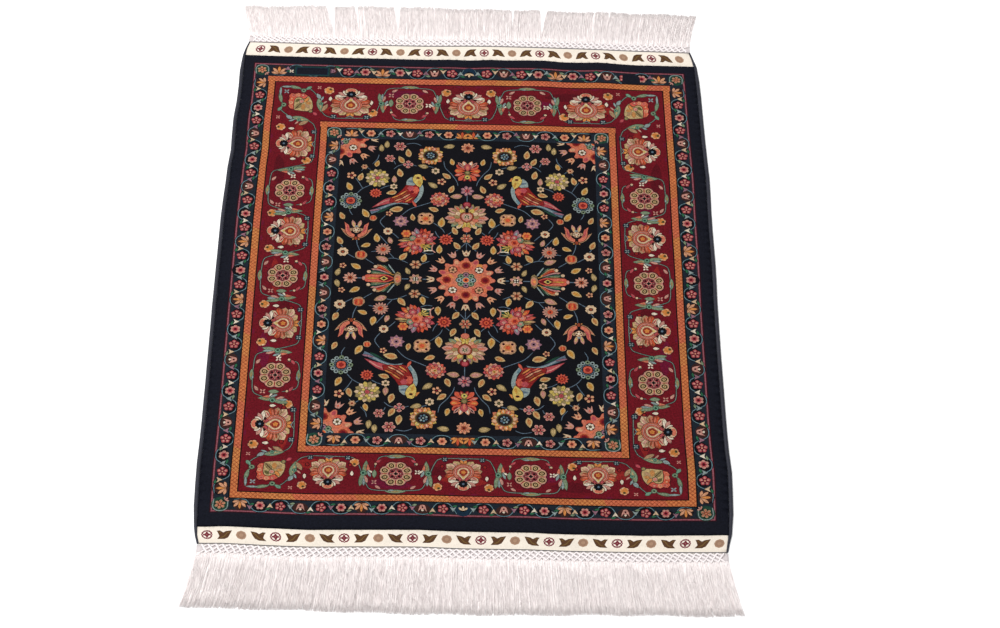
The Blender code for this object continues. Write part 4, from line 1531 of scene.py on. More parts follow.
    def _striped_palmette(self, pin: Pin) -> None:
        """Draw the striped palmette that opens along X."""
        c, book = self.cartoon, self.book
        for hand in (1, -1):
            side = pin.at(0, 0, tall=hand)
            c.stroke(side, [(8, 9), (12, 16), (16.5, 23)], 1.7, Yarn.MIST, Yarn.INK, 3)
            petals = (
                ((11, 9), (25, 22.5), 6.2, Yarn.PINE, Yarn.SAGE),
                ((12, 9), (31, 22.5), 5.6, Yarn.TAN, Yarn.APRICOT),
                ((12, 8), (33, 18.5), 7.4, Yarn.FLAME, Yarn.BRICK),
                ((11, 7), (38, 15.5), 4.6, Yarn.BLUSH, Yarn.MAUVE),
                ((12, 6), (41, 11.0), 6.6, Yarn.PINE, Yarn.SAGE),
                ((10, 4), (38, 7.0), 4.4, Yarn.KHAKI, Yarn.CREAM),
            )
            for start, end, width, outer, inner in petals:
                book.petal(side, start, end, width, outer, Yarn.INK, 0.66)
                near = (start[0] + 5, start[1] + (end[1] - start[1]) * 0.25)
                far = (end[0] - 2.5, end[1] - 0.8)
                book.petal(side, near, far, width * 0.36, inner, None, 0.6)
            for x, y in ((32.5, 19.0), (40.5, 10.6)):
                c.edged(side.at(x, y), around(2.5, 8), Yarn.CREAM, Yarn.UMBER, 0.5)
            c.stroke(side, [(9, 6), (13, 7.5), (14.5, 11)], 1.2, Yarn.GOLD)
        half = smooth([(8, 0), (14, 4.4), (20, 6.4), (28, 5.8), (37, 6.2), (44, 5.2), (46, 0)])
        flame = half + [(x, -y) for x, y in reversed(half[1:-1])]
        c.edged(pin, flame, Yarn.CORAL, Yarn.MAROON, 0.8)
        for hand in (1, -1):
            side = pin.at(0, 0, tall=hand)
            book.petal(side, (24, 4.4), (42, 3.8), 2.2, Yarn.SALMON)
        book.petal(pin, (9, 0), (30, 0), 9.4, Yarn.CRIMSON, None, 0.56)
        book.petal(pin, (26, 0), (43, 0), 2.4, Yarn.GOLD, Yarn.RUST)
        c.edged(pin.at(46.5, 0), around(3.2, 8, 0.62), Yarn.BLUSH, Yarn.RUST, 0.5)
        diamond = [(-5.2, 0), (0, -3.8), (5.2, 0), (0, 3.8)]
        c.stack(
            pin.at(21.5, 0),
            (diamond, Yarn.LEMON),
            (shrunk(diamond, 0.6), Yarn.PINE),
            (shrunk(diamond, 0.4), Yarn.INK),
        )
        base = pin.at(4.5, 0)
        for angle in (62, 90, 118, 150, 210, 242, 270, 298):
            tip = (4.6 * math.cos(math.radians(angle)), 11.5 * math.sin(math.radians(angle)))
            book.petal(base, (0, 0), tip, 5.0, Yarn.KHAKI, Yarn.INK, 0.6)
        c.edged(base, around(8.2, 14, 0.56), Yarn.TAN, Yarn.UMBER, 0.5)
        c.fill(base.at(-0.6, -0.8), around(5.6, 12, 0.58), Yarn.SALMON)
        c.fill(base.at(0.4, -0.4), around(2.6, 8, 0.8), Yarn.APRICOT)

    def _long_axis(self, pin: Pin, along: int, half_v: float) -> None:
        """Draw the flowers on the field's long axis, which Y follows outward."""
        c, book = self.cartoon, self.book

        def lift(v: float) -> float:
            """Return a place along the axis."""
            return self._lift(v, along, half_v)

        c.stroke(pin, [(0, 48), (0, lift(86))], 1.2, Yarn.STEEL, None, 2)
        c.stroke(pin, [(0, lift(130)), (0, lift(152))], 1.2, Yarn.STEEL, None, 2)
        tones = (Yarn.TAN, Yarn.CORAL, Yarn.BRICK, Yarn.CREAM)
        book.rosette(pin.at(0, lift(70)), 8.0, 6, tones)
        self._axis_palmette(pin.at(0, lift(108.5)))
        tones = (Yarn.MAUVE, Yarn.BLUSH, Yarn.ROSE, Yarn.UMBER)
        book.rosette(pin.at(0, lift(155.5)), 9.0, 7, tones)
        self._lotus(pin.at(0, lift(189)))
        tones = (Yarn.PEACH, Yarn.SALMON, Yarn.RUST, Yarn.MAROON)
        book.rosette(pin.at(0, lift(228.5)), 9.2, 9, tones, Yarn.MAROON)

    def _axis_palmette(self, pin: Pin) -> None:
        """Draw the cream and rose palmette on the long axis, which opens along Y."""
        c, book = self.cartoon, self.book
        c.fill(pin, lobed(23.5, 14, 0.1), Yarn.INK)
        rays = (
            (-78, 21.0, 6.6, Yarn.LEMON, Yarn.GOLD), (-58, 24.0, 7.0, Yarn.CREAM, Yarn.LEMON),
            (-40, 26.0, 7.0, Yarn.SAGE, Yarn.KHAKI), (-22, 26.5, 8.2, Yarn.TAN, Yarn.BLUSH),
            (-5, 28.5, 8.4, Yarn.BLUSH, Yarn.SALMON), (15, 26.0, 7.4, Yarn.TAN, Yarn.CREAM),
            (31, 28.0, 7.4, Yarn.BLUSH, Yarn.KHAKI), (50, 25.0, 7.0, Yarn.TAN, Yarn.CORAL),
            (70, 23.5, 6.6, Yarn.KHAKI, Yarn.MAUVE)
        )
        for hand in (1, -1):
            side = pin.at(0, 0, wide=hand)
            for angle, reach, width, outer, inner in rays:
                x, y = polar(1.0, math.radians(angle))
                book.petal(side, (x * 4, y * 4), (x * reach, y * reach), width, outer, Yarn.INK, 0.68)
                far = reach * 0.88
                book.petal(side, (x * 12, y * 12), (x * far, y * far), width * 0.4, inner)
            tones = (Yarn.PEACH, Yarn.SALMON, Yarn.KHAKI, Yarn.CREAM, Yarn.LEMON)
            for k, angle in enumerate((-52, -26, 0, 28, 58)):
                x, y = polar(1.0, math.radians(angle))
                book.petal(side, (x * 3, y * 3), (x * 16.5, y * 16), 6.4, tones[k], Yarn.RUST, 0.7)
        heart = both_sides([(0, -10), (5.5, -6.5), (8.6, -1), (8.2, 4.5), (4.5, 8), (0, 6.8)])
        c.stack(pin, (heart, Yarn.RUST, Yarn.UMBER, 0.7), (shrunk(heart, 0.78, (0, 0)), Yarn.BLUSH))
        for angle in (90, 35, 145, 215, 325):
            x, y = polar(1.0, math.radians(angle))
            book.petal(pin, (0, 0), (x * 4.2, y * 4.2), 2.2, Yarn.PINE, Yarn.CREAM)
        c.edged(pin.at(0, 20.5), around(5.6, 12), Yarn.CRIMSON, Yarn.MAROON, 0.6)
        c.fill(pin.at(0, 21.5), around(3.8, 10), Yarn.ROSE)
        c.edged(pin.at(0, 16.6), around(1.8, 8), Yarn.CREAM, Yarn.INK, 0.6)
        c.edged(pin.at(0, -21.5), around(4.4, 9, 1.2), Yarn.SALMON, Yarn.MAROON, 0.6)

    def _lotus(self, pin: Pin) -> None:
        """Draw the red lotus on the long axis, which opens along Y."""
        c, book = self.cartoon, self.book
        for hand in (1, -1):
            side = pin.at(0, 0, wide=hand)
            petals = (
                ((2, -5), (11.5, -16.5), 7.0, Yarn.CORAL, Yarn.FLAME),
                ((1, -7), (4.5, -18.0), 5.0, Yarn.BRICK, Yarn.SALMON),
                ((3, -3), (16.5, -8.0), 5.0, Yarn.CORAL, Yarn.BLUSH),
                ((3, 0), (17.0, 0.5), 8.6, Yarn.FLAME, Yarn.APRICOT),
                ((3, 2), (14.5, 11.0), 7.4, Yarn.CORAL, Yarn.BRICK),
                ((3, 4), (12.5, 15.5), 4.4, Yarn.BLUSH, Yarn.SLATE),
                ((1, 2), (5.6, 18.0), 6.0, Yarn.PEACH, Yarn.IVORY),
            )
            for start, end, width, outer, inner in petals:
                book.petal(side, start, end, width, outer, Yarn.MAROON, 0.64)
                near = (start[0] + (end[0] - start[0]) * 0.35, start[1] + (end[1] - start[1]) * 0.35)
                far = (end[0] * 0.93, end[1] * 0.93)
                book.petal(side, near, far, width * 0.38, inner)
        book.petal(pin, (0, -4), (0, 13.5), 9.0, Yarn.ROSE, Yarn.MAROON, 0.7)
        book.petal(pin, (0, 0), (0, 11.0), 3.6, Yarn.SALMON)
        c.edged(pin.at(0, -3.0), around(3.9, 10), Yarn.OLIVE, Yarn.UMBER, 0.6)
        c.fill(pin.at(0, -2.4), around(2.4, 8), Yarn.KHAKI)
        c.edged(pin.at(0, -10.5), around(3.6, 9), Yarn.LEMON, Yarn.OLIVE, 0.7)
        c.fill(pin.at(0, -11.0), around(1.5, 6), Yarn.PINE)

    def _medallion(self, pin: Pin) -> None:
        """Draw the salmon star medallion with its ring of tulips."""
        c, book, radius = self.cartoon, self.book, self.medallion
        tulips = (
            (Yarn.CREAM, Yarn.RUST), (Yarn.BLUSH, Yarn.OCHRE), (Yarn.PEACH, Yarn.RUST),
            (Yarn.BLUSH, Yarn.CORAL)
        )
        for k in range(16):
            spot = pin.at(0, 0, 22.5 * k).at(radius + 8.0, 0, -90)
            outer, heart = tulips[k % 4]
            book.tulip(spot, 10.5, outer, heart)
        star = []
        for k in range(96):
            angle = math.tau * k / 96
            wave = math.cos(16 * angle)
            reach = radius * (0.92 + 0.095 * math.copysign(abs(wave) ** 0.7, wave))
            star.append(polar(reach, angle))
        c.edged(pin, star, Yarn.SALMON, Yarn.MAROON, 0.9)
        patches = (Yarn.CORAL, Yarn.STRIPE_ROSY, Yarn.APRICOT, Yarn.CORAL, Yarn.STRIPE_ROSY)
        for k in range(16):
            near, far = (0.42, 0.7) if k % 2 else (0.6, 0.9)
            start, end = pin.at(0, 0, 22.5 * k + 8), (radius * (far - near), 0)
            book.petal(start.at(radius * near, 0), (0, 0), end, 8.5, patches[k % 5])
        for k, patch in enumerate(spread(pin, 8, radius * 0.86, 22.5)):
            c.fill(patch, around(2.8, 8, 1.3), Yarn.ROSE if k % 2 else Yarn.PEACH)
        for k in range(4):
            spot = pin.at(0, 0, 90 * k).at(radius * 0.66, 0)
            shades = (
                (7.6, Yarn.STRIPE_ROSY), (6.0, Yarn.RUST), (4.8, Yarn.BRICK), (3.4, Yarn.CRIMSON),
                (1.9, Yarn.WINE)
            )
            for size, yarn in shades:
                c.fill(spot, lobed(size, 9, 0.12, 13 * size), yarn)
            flower = pin.at(0, 0, 90 * k + 45).at(radius * 0.64, 0)
            c.fill(flower, around(5.9, 12), Yarn.CRIMSON)
            book.cluster(flower, 5.2, 6, (Yarn.IVORY, Yarn.PEACH)[k % 2], Yarn.OLIVE, Yarn.MAROON)
        c.stack(pin, (lobed(14.0, 8, 0.14), Yarn.PEACH), (lobed(13.2, 8, 0.14), Yarn.INK))
        tones = (Yarn.MIST, Yarn.SAGE, Yarn.MAUVE, Yarn.SAGE)
        for k, petal in enumerate(spread(pin, 8, 8.8)):
            c.fill(petal, around(3.5, 9), tones[k % 4])
            c.fill(petal, around(1.6, 7), (Yarn.SLATE, Yarn.PINE)[k % 2])
        c.stack(
            pin,
            (around(5.2, 12), Yarn.MIST),
            (around(4.2, 12), Yarn.STRIPE_PALE),
            (around(3.3, 10), Yarn.FLAME),
            (around(1.7, 8), Yarn.MAROON),
        )


@dataclass
class BarePlaces:
    """Two plain places in the outer guard, left without any motif."""

    cartoon: Cartoon
    layout: Layout

    def draw(self) -> None:
        """Draw the plain cartouche at the upper left and the dark patch at the upper right."""
        c, book = self.cartoon, MotifBook(self.cartoon)
        top = self.layout.top
        low, high = top.stripe + 2.4, top.line - 3.4
        c.box(-243, -184, low, high, Yarn.SLATE)
        c.box(-237, -190, low + 0.4, high - 0.6, Yarn.PINE)
        c.box(-235.6, -191.4, low + 1.6, high - 1.8, Yarn.PETROL)
        c.box(-234, -193, low + 3.0, high - 3.2, Yarn.MARGIN_WITH_PAINTED_SHEEN)
        middle = (low + high) / 2
        book.star(Pin().at(-241.5, middle - 1), 3.8, Yarn.IVORY, Yarn.BLUSH)
        book.tulip(Pin().at(-185.5, middle + 1, 90), 7.5, Yarn.MAUVE, Yarn.MAROON, Yarn.MAROON)
        patch = [(205, 330), (232, 331), (231, 357), (224, 363), (208, 361)]
        c.fill(Pin(), patch, Yarn.MARGIN_WITH_PAINTED_SHEEN)


class EdgeReader:
    """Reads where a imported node's edges lie."""

    def __init__(self, name: str) -> None:
        """Keep the node's edges as arrays of their end points."""
        node = bpy.data.objects[name]
        mesh = node.data
        places = np.empty(len(mesh.vertices) * 3)
        mesh.vertices.foreach_get("co", places)
        places = places.reshape(-1, 3) / MM
        pairs = np.empty(len(mesh.edges) * 2, dtype=int)
        mesh.edges.foreach_get("vertices", pairs)
        self.ends = places[pairs.reshape(-1, 2)]

    def span(self, axis: int, value: float, along: int) -> tuple[float, float]:
        """Return how far the node reaches where it crosses a plane.

        Args:
            axis: 0 for the plane x = value, and 1 for the plane y = value.
            value: where the plane is, in millimetres.
            along: the axis that the answer is measured on.

        Returns:
            The lowest and highest place on that axis.
        """
        one, other = self.ends[:, 0], self.ends[:, 1]
        low = np.minimum(one[:, axis], other[:, axis])
        high = np.maximum(one[:, axis], other[:, axis])
        hit = (low <= value) & (high >= value) & (high - low > 1e-6)
        share = (value - one[hit, axis]) / (other[hit, axis] - one[hit, axis])
        crossing = one[hit, along] + share * (other[hit, along] - one[hit, along])
        return float(crossing.min()), float(crossing.max())


@dataclass
class ClothEdge:
    """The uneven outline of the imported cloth, which the flat cartoon is drawn in to."""

    node: str
    shift: float
    left: float
    right: float
    low: float
    high: float
    decay_x: float = 70.0
    decay_y: float = 110.0
    samples: int = 121

    def __post_init__(self) -> None:
        """Sample the node's edges all round."""
        reader = EdgeReader(self.node)
        self.ys = np.linspace(self.low + self.shift, self.high + self.shift, self.samples)
        self.xs = np.linspace(self.left, self.right, self.samples)
        inset = 9.0
        ys = np.clip(self.ys, self.ys[0] + 6.0, self.ys[-1] - 6.0)
        spans = np.array([reader.span(1, y, 0) for y in ys])
        self.edge_left, self.edge_right = spans[:, 0], spans[:, 1]
        xs = np.clip(self.xs, self.left + inset, self.right - inset)
        spans = np.array([reader.span(0, x, 1) for x in xs])
        self.edge_low, self.edge_high = spans[:, 0], spans[:, 1]

    def warp(self, places: np.ndarray) -> np.ndarray:
        """Return cartoon places as places on the cloth, both in millimetres.

        Args:
            places: one row of x and y for each point of the flat cartoon.

        Returns:
            The same points with the cloth's uneven edges, in the rug's frame.
        """
        x, y = places[:, 0], places[:, 1] + self.shift
        low, high = self.low + self.shift, self.high + self.shift
        off_low = np.interp(x, self.xs, self.edge_low) - low
        off_high = np.interp(x, self.xs, self.edge_high) - high
        near_low = np.exp(-np.clip(y - low, 0, None) / self.decay_y)
        near_high = np.exp(-np.clip(high - y, 0, None) / self.decay_y)
        new_y = y + off_low * near_low + off_high * near_high
        off_left = np.interp(new_y, self.ys, self.edge_left) - self.left
        off_right = np.interp(new_y, self.ys, self.edge_right) - self.right
        near_left = np.exp(-np.clip(x - self.left, 0, None) / self.decay_x)
        near_right = np.exp(-np.clip(self.right - x, 0, None) / self.decay_x)
        new_x = x + off_left * near_left + off_right * near_right
        return np.stack([new_x, new_y], axis=1)


class Wire:
    """A shader value that takes part in sums."""

    def __init__(self, dye: Dyer, socket: bpy.types.NodeSocket) -> None:
        """Wrap a socket of a dyer's material."""
        self.dye = dye
        self.socket = socket

    def _sum(self, operation: str, first: Any, second: Any) -> Wire:
        """Add a Math node for two values."""
        made = self.dye.node("ShaderNodeMath", {"operation": operation}, {0: first, 1: second})
        return Wire(self.dye, made.outputs[0])

    def __add__(self, other: Wire | float) -> Wire:
        """Add."""
        return self._sum("ADD", self, other)

    def __radd__(self, other: float) -> Wire:
        """Add to a number."""
        return self._sum("ADD", other, self)

    def __sub__(self, other: Wire | float) -> Wire:
        """Subtract."""
        return self._sum("SUBTRACT", self, other)

    def __mul__(self, other: Wire | float) -> Wire:
        """Multiply."""
        return self._sum("MULTIPLY", self, other)

    def wave(self) -> Wire:
        """Return the sine."""
        return self._sum("SINE", self, 0.0)

    def size(self) -> Wire:
        """Return the value without its sign."""
        return self._sum("ABSOLUTE", self, 0.0)

    def fraction(self) -> Wire:
        """Return what follows the whole number."""
        return self._sum("FRACT", self, 0.0)

    def clipped(self) -> Wire:
        """Return the value held between 0 and 1."""
        return self._sum("MINIMUM", self._sum("MAXIMUM", self, 0.0), 1.0)


class Dyer:
    """Builds one material's nodes."""

    def __init__(self, name: str) -> None:
        """Start a material with one Principled shader."""
        self.material = bpy.data.materials.new(name)
        self.material.use_nodes = True
        self.nodes = self.material.node_tree.nodes
        self.links = self.material.node_tree.links
        self.shader = self.nodes["Principled BSDF"]

    def node(
        self,
        kind: str,
        settings: dict[str, Any] | None = None,
        inputs: dict[int | str, Any] | None = None,
    ) -> bpy.types.Node:
        """Add a node.

        Args:
            kind: the node's type.
            settings: its properties, set first.
            inputs: its sockets' values or links, by name or number.

        Returns:
            The node.
        """
        made = self.nodes.new(kind)
        for name, value in (settings or {}).items():
            setattr(made, name, value)
        for key, value in (inputs or {}).items():
            self.feed(made.inputs[key], value)
        return made

    def feed(self, socket: bpy.types.NodeSocket, value: Any) -> None:
        """Give a socket a value or a link."""
        if isinstance(value, Wire):
            self.links.new(value.socket, socket)
        elif isinstance(value, bpy.types.NodeSocket):
            self.links.new(value, socket)
        else:
            socket.default_value = value

    def wire(self, socket: bpy.types.NodeSocket) -> Wire:
        """Wrap a socket for sums."""
        return Wire(self, socket)

    def place(self, scale: tuple[float, float, float]) -> bpy.types.NodeSocket:
        """Return the object's own place, scaled in each direction."""
        here = self.node("ShaderNodeTexCoord").outputs["Object"]
        scaled = self.node("ShaderNodeVectorMath", {"operation": "MULTIPLY"}, {0: here, 1: scale})
        return scaled.outputs[0]

    def noise(self, scale: tuple[float, float, float], detail: float = 2.0) -> Wire:
        """Return a cloudy value round 0.5, at so many spots a metre in each direction."""
        made = self.node(
            "ShaderNodeTexNoise",
            {},
            {"Vector": self.place(scale), "Scale": 1.0, "Detail": detail, "Roughness": 0.5},
        )
        return self.wire(made.outputs["Fac"])

    def axis(self, name: str) -> Wire:
        """Return the place along one axis, in metres."""
        here = self.node("ShaderNodeTexCoord").outputs["Object"]
        split = self.node("ShaderNodeSeparateXYZ", {}, {0: here})
        return self.wire(split.outputs[name])

    def cells(self, pitch: tuple[float, float, float]) -> Wire:
        """Return a value of its own for each knot of a grid with this pitch, in metres."""
        here = self.node("ShaderNodeTexCoord").outputs["Object"]
        snapped = self.node("ShaderNodeVectorMath", {"operation": "SNAP"}, {0: here, 1: pitch})
        made = self.node(
            "ShaderNodeTexWhiteNoise", {"noise_dimensions": "3D"}, {"Vector": snapped.outputs[0]}
        )
        return self.wire(made.outputs["Value"])

    def scaled(self, colour: Any, factor: Wire) -> bpy.types.NodeSocket:
        """Return a colour made lighter or darker by a factor."""
        made = self.node("ShaderNodeVectorMath", {"operation": "SCALE"}, {0: colour, "Scale": factor})
        return made.outputs[0]

    def mixed(self, factor: Any, first: Any, second: Any) -> bpy.types.NodeSocket:
        """Return a mix of two colours."""
        made = self.node("ShaderNodeMix", {"data_type": "RGBA"})
        self.feed(made.inputs[0], factor)
        self.feed(made.inputs[6], first)
        self.feed(made.inputs[7], second)
        return made.outputs[2]

    def bumped(self, height: Wire, strength: float, depth: float) -> None:
        """Raise the surface by a height."""
        made = self.node(
            "ShaderNodeBump", {}, {"Strength": strength, "Distance": depth, "Height": height}
        )
        self.feed(self.shader.inputs["Normal"], made.outputs["Normal"])

    def yarns(self, attribute: str) -> bpy.types.NodeSocket:
        """Return the colours that a mesh keeps at its corners."""
        return self.node("ShaderNodeVertexColor", {"layer_name": attribute}).outputs["Color"]

    def rows(self, name: str, pitch: float) -> Wire:
        """Return rows across one axis, this far apart in metres, from -1 to 1."""
        return (self.axis(name) * (math.tau / pitch)).wave()

    def paint(self, **values: Any) -> None:
        """Feed the shader's sockets, by their names with underscores for spaces."""
        for name, value in values.items():
            self.feed(self.shader.inputs[name.replace("_", " ")], value)


@dataclass(frozen=True)
class SilkPile:
    """Dense cut silk: the yarn colours, dye changes from row to row, and knots in rows."""

    name: str = "silk_pile"
    knot: float = 0.0011
    attribute: str = "yarn"
    stripe: str = "stripe"
    hatch_pitch: float = 0.0056

    def make(self) -> bpy.types.Material:
        """Build the material."""
        dye = Dyer(self.name)
        yarn = dye.yarns(self.attribute)
        lots = dye.noise((2.0, 46.0, 1.0), 2.0)
        cloud = dye.noise((22.0, 26.0, 1.0), 3.0)
        grain = dye.noise((900.0, 700.0, 300.0), 1.0)
        knots = dye.cells((self.knot, self.knot, 1.0))
        mottle = dye.noise((430.0, 430.0, 1.0), 2.0)
        lines = (dye.axis("X") + dye.axis("Y"), dye.axis("X") - dye.axis("Y"))
        shares = [(line * (1 / self.hatch_pitch)).fraction() for line in lines]
        rising, falling = [((share - 0.5).size() * 8.0 - 2.7).clipped() for share in shares]
        ridge = (rising + falling).clipped()
        stripe = dye.wire(
            dye.node("ShaderNodeAttribute", {"attribute_name": self.stripe}).outputs["Fac"]
        )
        red = (*linear(140, 52, 32), 1.0)
        yarn = dye.mixed(ridge * stripe * 0.78, yarn, red)
        tone = lots * 0.16 + cloud * 0.16 + grain * 0.2 + knots * 0.24 + mottle * 0.68 - 0.16
        colour = dye.scaled(yarn, tone)
        dye.paint(Base_Color=colour, Roughness=0.6 + cloud * 0.3, Specular_IOR_Level=0.05)
        rows, tufts = dye.rows("Y", self.knot), dye.rows("X", self.knot)
        nap = dye.noise((34.0, 90.0, 1.0), 2.0)
        dye.bumped(rows * 0.12 + tufts * 0.1 + grain * 0.9 + nap * 1.4, 0.35, 0.0006)
        return dye.material


@dataclass(frozen=True)
class WovenBack:
    """The knotted back: the same yarns, duller, in fine rows of small bumps."""

    name: str = "woven_back"
    knot: float = 0.0011
    attribute: str = "yarn"

    def make(self) -> bpy.types.Material:
        """Build the material."""
        dye = Dyer(self.name)
        yarn = dye.yarns(self.attribute)
        knots = dye.cells((self.knot, self.knot, 1.0))
        lots = dye.noise((2.0, 46.0, 1.0), 2.0)
        tone = 0.44 + lots * 0.2 + knots * 0.2
        colour = dye.mixed(0.14, dye.scaled(yarn, tone), (0.3, 0.27, 0.24, 1.0))
        dye.paint(Base_Color=colour, Roughness=0.62 + lots * 0.2, Specular_IOR_Level=0.25)
        rows, columns = dye.rows("Y", self.knot), dye.rows("X", self.knot)
        dye.bumped(rows * 0.5 + columns * 0.4, 0.5, 0.0004)
        return dye.material


@dataclass(frozen=True)
class KilimWeave:
    """Matt flat weave with fine weft ribs."""

    name: str = "kilim_weave"
    rib: float = 0.0009
    attribute: str = "yarn"

    def make(self) -> bpy.types.Material:
        """Build the material."""
        dye = Dyer(self.name)
        yarn = dye.yarns(self.attribute)
        cloud = dye.noise((14.0, 60.0, 1.0), 3.0)
        grain = dye.noise((1100.0, 500.0, 300.0), 1.0)
        colour = dye.scaled(yarn, 0.52 + cloud * 0.2 + grain * 0.22)
        dye.paint(Base_Color=colour, Roughness=0.7 + cloud * 0.2, Specular_IOR_Level=0.2)
        ribs, picks = dye.rows("X", self.rib), dye.rows("Y", self.rib * 0.7)
        dye.bumped(ribs * 0.3 + picks * 0.15 + grain * 0.6, 0.4, 0.0003)
        return dye.material


@dataclass(frozen=True)
class Thread:
    """Plain silk thread with a soft sheen and some variation along its length."""

    name: str
    colour: tuple[float, float, float]
    deep: tuple[float, float, float]
    roughness: float
    sheen: float
    pitch: tuple[float, float, float] = (260.0, 40.0, 60.0)

    def make(self) -> bpy.types.Material:
        """Build the material."""
        dye = Dyer(self.name)
        cloud = dye.noise(self.pitch, 2.0)
        grain = dye.noise((1500.0, 300.0, 1500.0), 1.0)
        share = (cloud * 1.3 + grain * 0.5 - 0.4).clipped()
        colour = dye.mixed(share, (*self.deep, 1.0), (*self.colour, 1.0))
        dye.paint(Base_Color=colour, Roughness=self.roughness - 0.1 + grain * 0.2)
        dye.bumped(grain, 0.3, 0.0002)
        dye.paint(Sheen_Weight=self.sheen, Sheen_Roughness=0.4, Specular_IOR_Level=0.3)
        return dye.material


@dataclass(frozen=True)
class PaleFloor:
    """The plain floor of the studio."""

    name: str = "studio_floor"
    colour: tuple[float, float, float] = (0.93, 0.93, 0.93)

    def make(self) -> bpy.types.Material:
        """Build the material."""
        dye = Dyer(self.name)
        cloud = dye.noise((1.5, 1.5, 1.5), 1.0)
        colour = dye.scaled(self.colour, 0.99 + cloud * 0.02)
        dye.paint(Base_Color=colour, Roughness=0.9, Specular_IOR_Level=0.1)
        return dye.material


def build_mesh(
    name: str,
    places: np.ndarray,
    faces: Sequence[Sequence[int]] | np.ndarray,
    material: bpy.types.Material,
    smooth_shading: bool = True,
) -> bpy.types.Object:
    """Make a mesh object from points in metres and faces.

    Args:
        name: the piece's name.
        places: one row for each point, in metres.
        faces: the corners of each face.
        material: its finish.
        smooth_shading: whether its faces are shaded as one surface.

    Returns:
        The object, in the scene.
    """
    mesh = bpy.data.meshes.new(name)
    mesh.from_pydata(places.tolist(), [], [list(map(int, f)) for f in faces])
    mesh.validate()
    mesh.materials.append(material)
    mesh.polygons.foreach_set("use_smooth", [smooth_shading] * len(mesh.polygons))
    mesh.update()
    made = bpy.data.objects.new(name, mesh)
    bpy.context.collection.objects.link(made)
    return made


@dataclass(frozen=True)
class Window:
    """A rectangle that outlines are trimmed to."""

    left: float
    right: float
    low: float
    high: float

    def clip(self, outline: Outline) -> Outline:
        """Return the part of an outline that lies inside the rectangle."""
        limits = ((0, self.left, 1), (0, self.right, -1), (1, self.low, 1), (1, self.high, -1))
        for axis, limit, sign in limits:
            kept = []
            for here, following in zip(outline, outline[1:] + outline[:1]):
                a = (here[axis] - limit) * sign
                b = (following[axis] - limit) * sign
                if a >= 0:
                    kept.append(here)
                if (a < 0 < b) or (b < 0 < a):
                    share = a / (a - b)
                    kept.append(tuple(p + share * (q - p) for p, q in zip(here, following)))
            outline = kept
        return outline

    def rim(self, step: float, inset: float = 0.0) -> Outline:
        """Return points along the rectangle's rim, in order.

        Args:
            step: about how far apart they are.
            inset: how far inside the rim they lie.
        """
        left, right = self.left + inset, self.right - inset
        low, high = self.low + inset, self.high - inset
        columns = max(1, int((right - left) // step))
        rows = max(1, int((high - low) // step))
        xs = [left + (right - left) * k / columns for k in range(columns + 1)]
        ys = [low + (high - low) * k / rows for k in range(rows + 1)]
        rim = [(x, low) for x in xs]
        rim += [(right, y) for y in ys[1:]]
        rim += [(x, high) for x in reversed(xs[:-1])]
        rim += [(left, y) for y in reversed(ys[1:-1])]
        return rim

    def lattice(self, step: float, inset: float) -> Outline:
        """Return a grid of points inside the rectangle, some way in from its rim."""
        width, height = self.right - self.left - 2 * inset, self.high - self.low - 2 * inset
        columns, rows = max(1, int(width // step)), max(1, int(height // step))
        return [
            (self.left + inset + width * i / columns, self.low + inset + height * j / rows)
            for i in range(columns + 1)
            for j in range(rows + 1)
        ]


@dataclass
class CutLayer:
    """One layer of a cloth: flat points, triangles, and a colour and hatching for each."""

    flat: np.ndarray
    corners: np.ndarray
    dyes: np.ndarray
    hatch: np.ndarray

    def __post_init__(self) -> None:
        """Turn every triangle the same way up."""
        p, q, r = (self.flat[self.corners[:, k]] for k in range(3))
        doubled = (q[:, 0] - p[:, 0]) * (r[:, 1] - p[:, 1]) - (r[:, 0] - p[:, 0]) * (q[:, 1] - p[:, 1])
        turned = doubled < 0
        self.corners[turned] = self.corners[turned][:, ::-1]
        kept = np.abs(doubled) > 1e-9
        self.corners, self.dyes, self.hatch = (self.corners[kept], self.dyes[kept], self.hatch[kept])


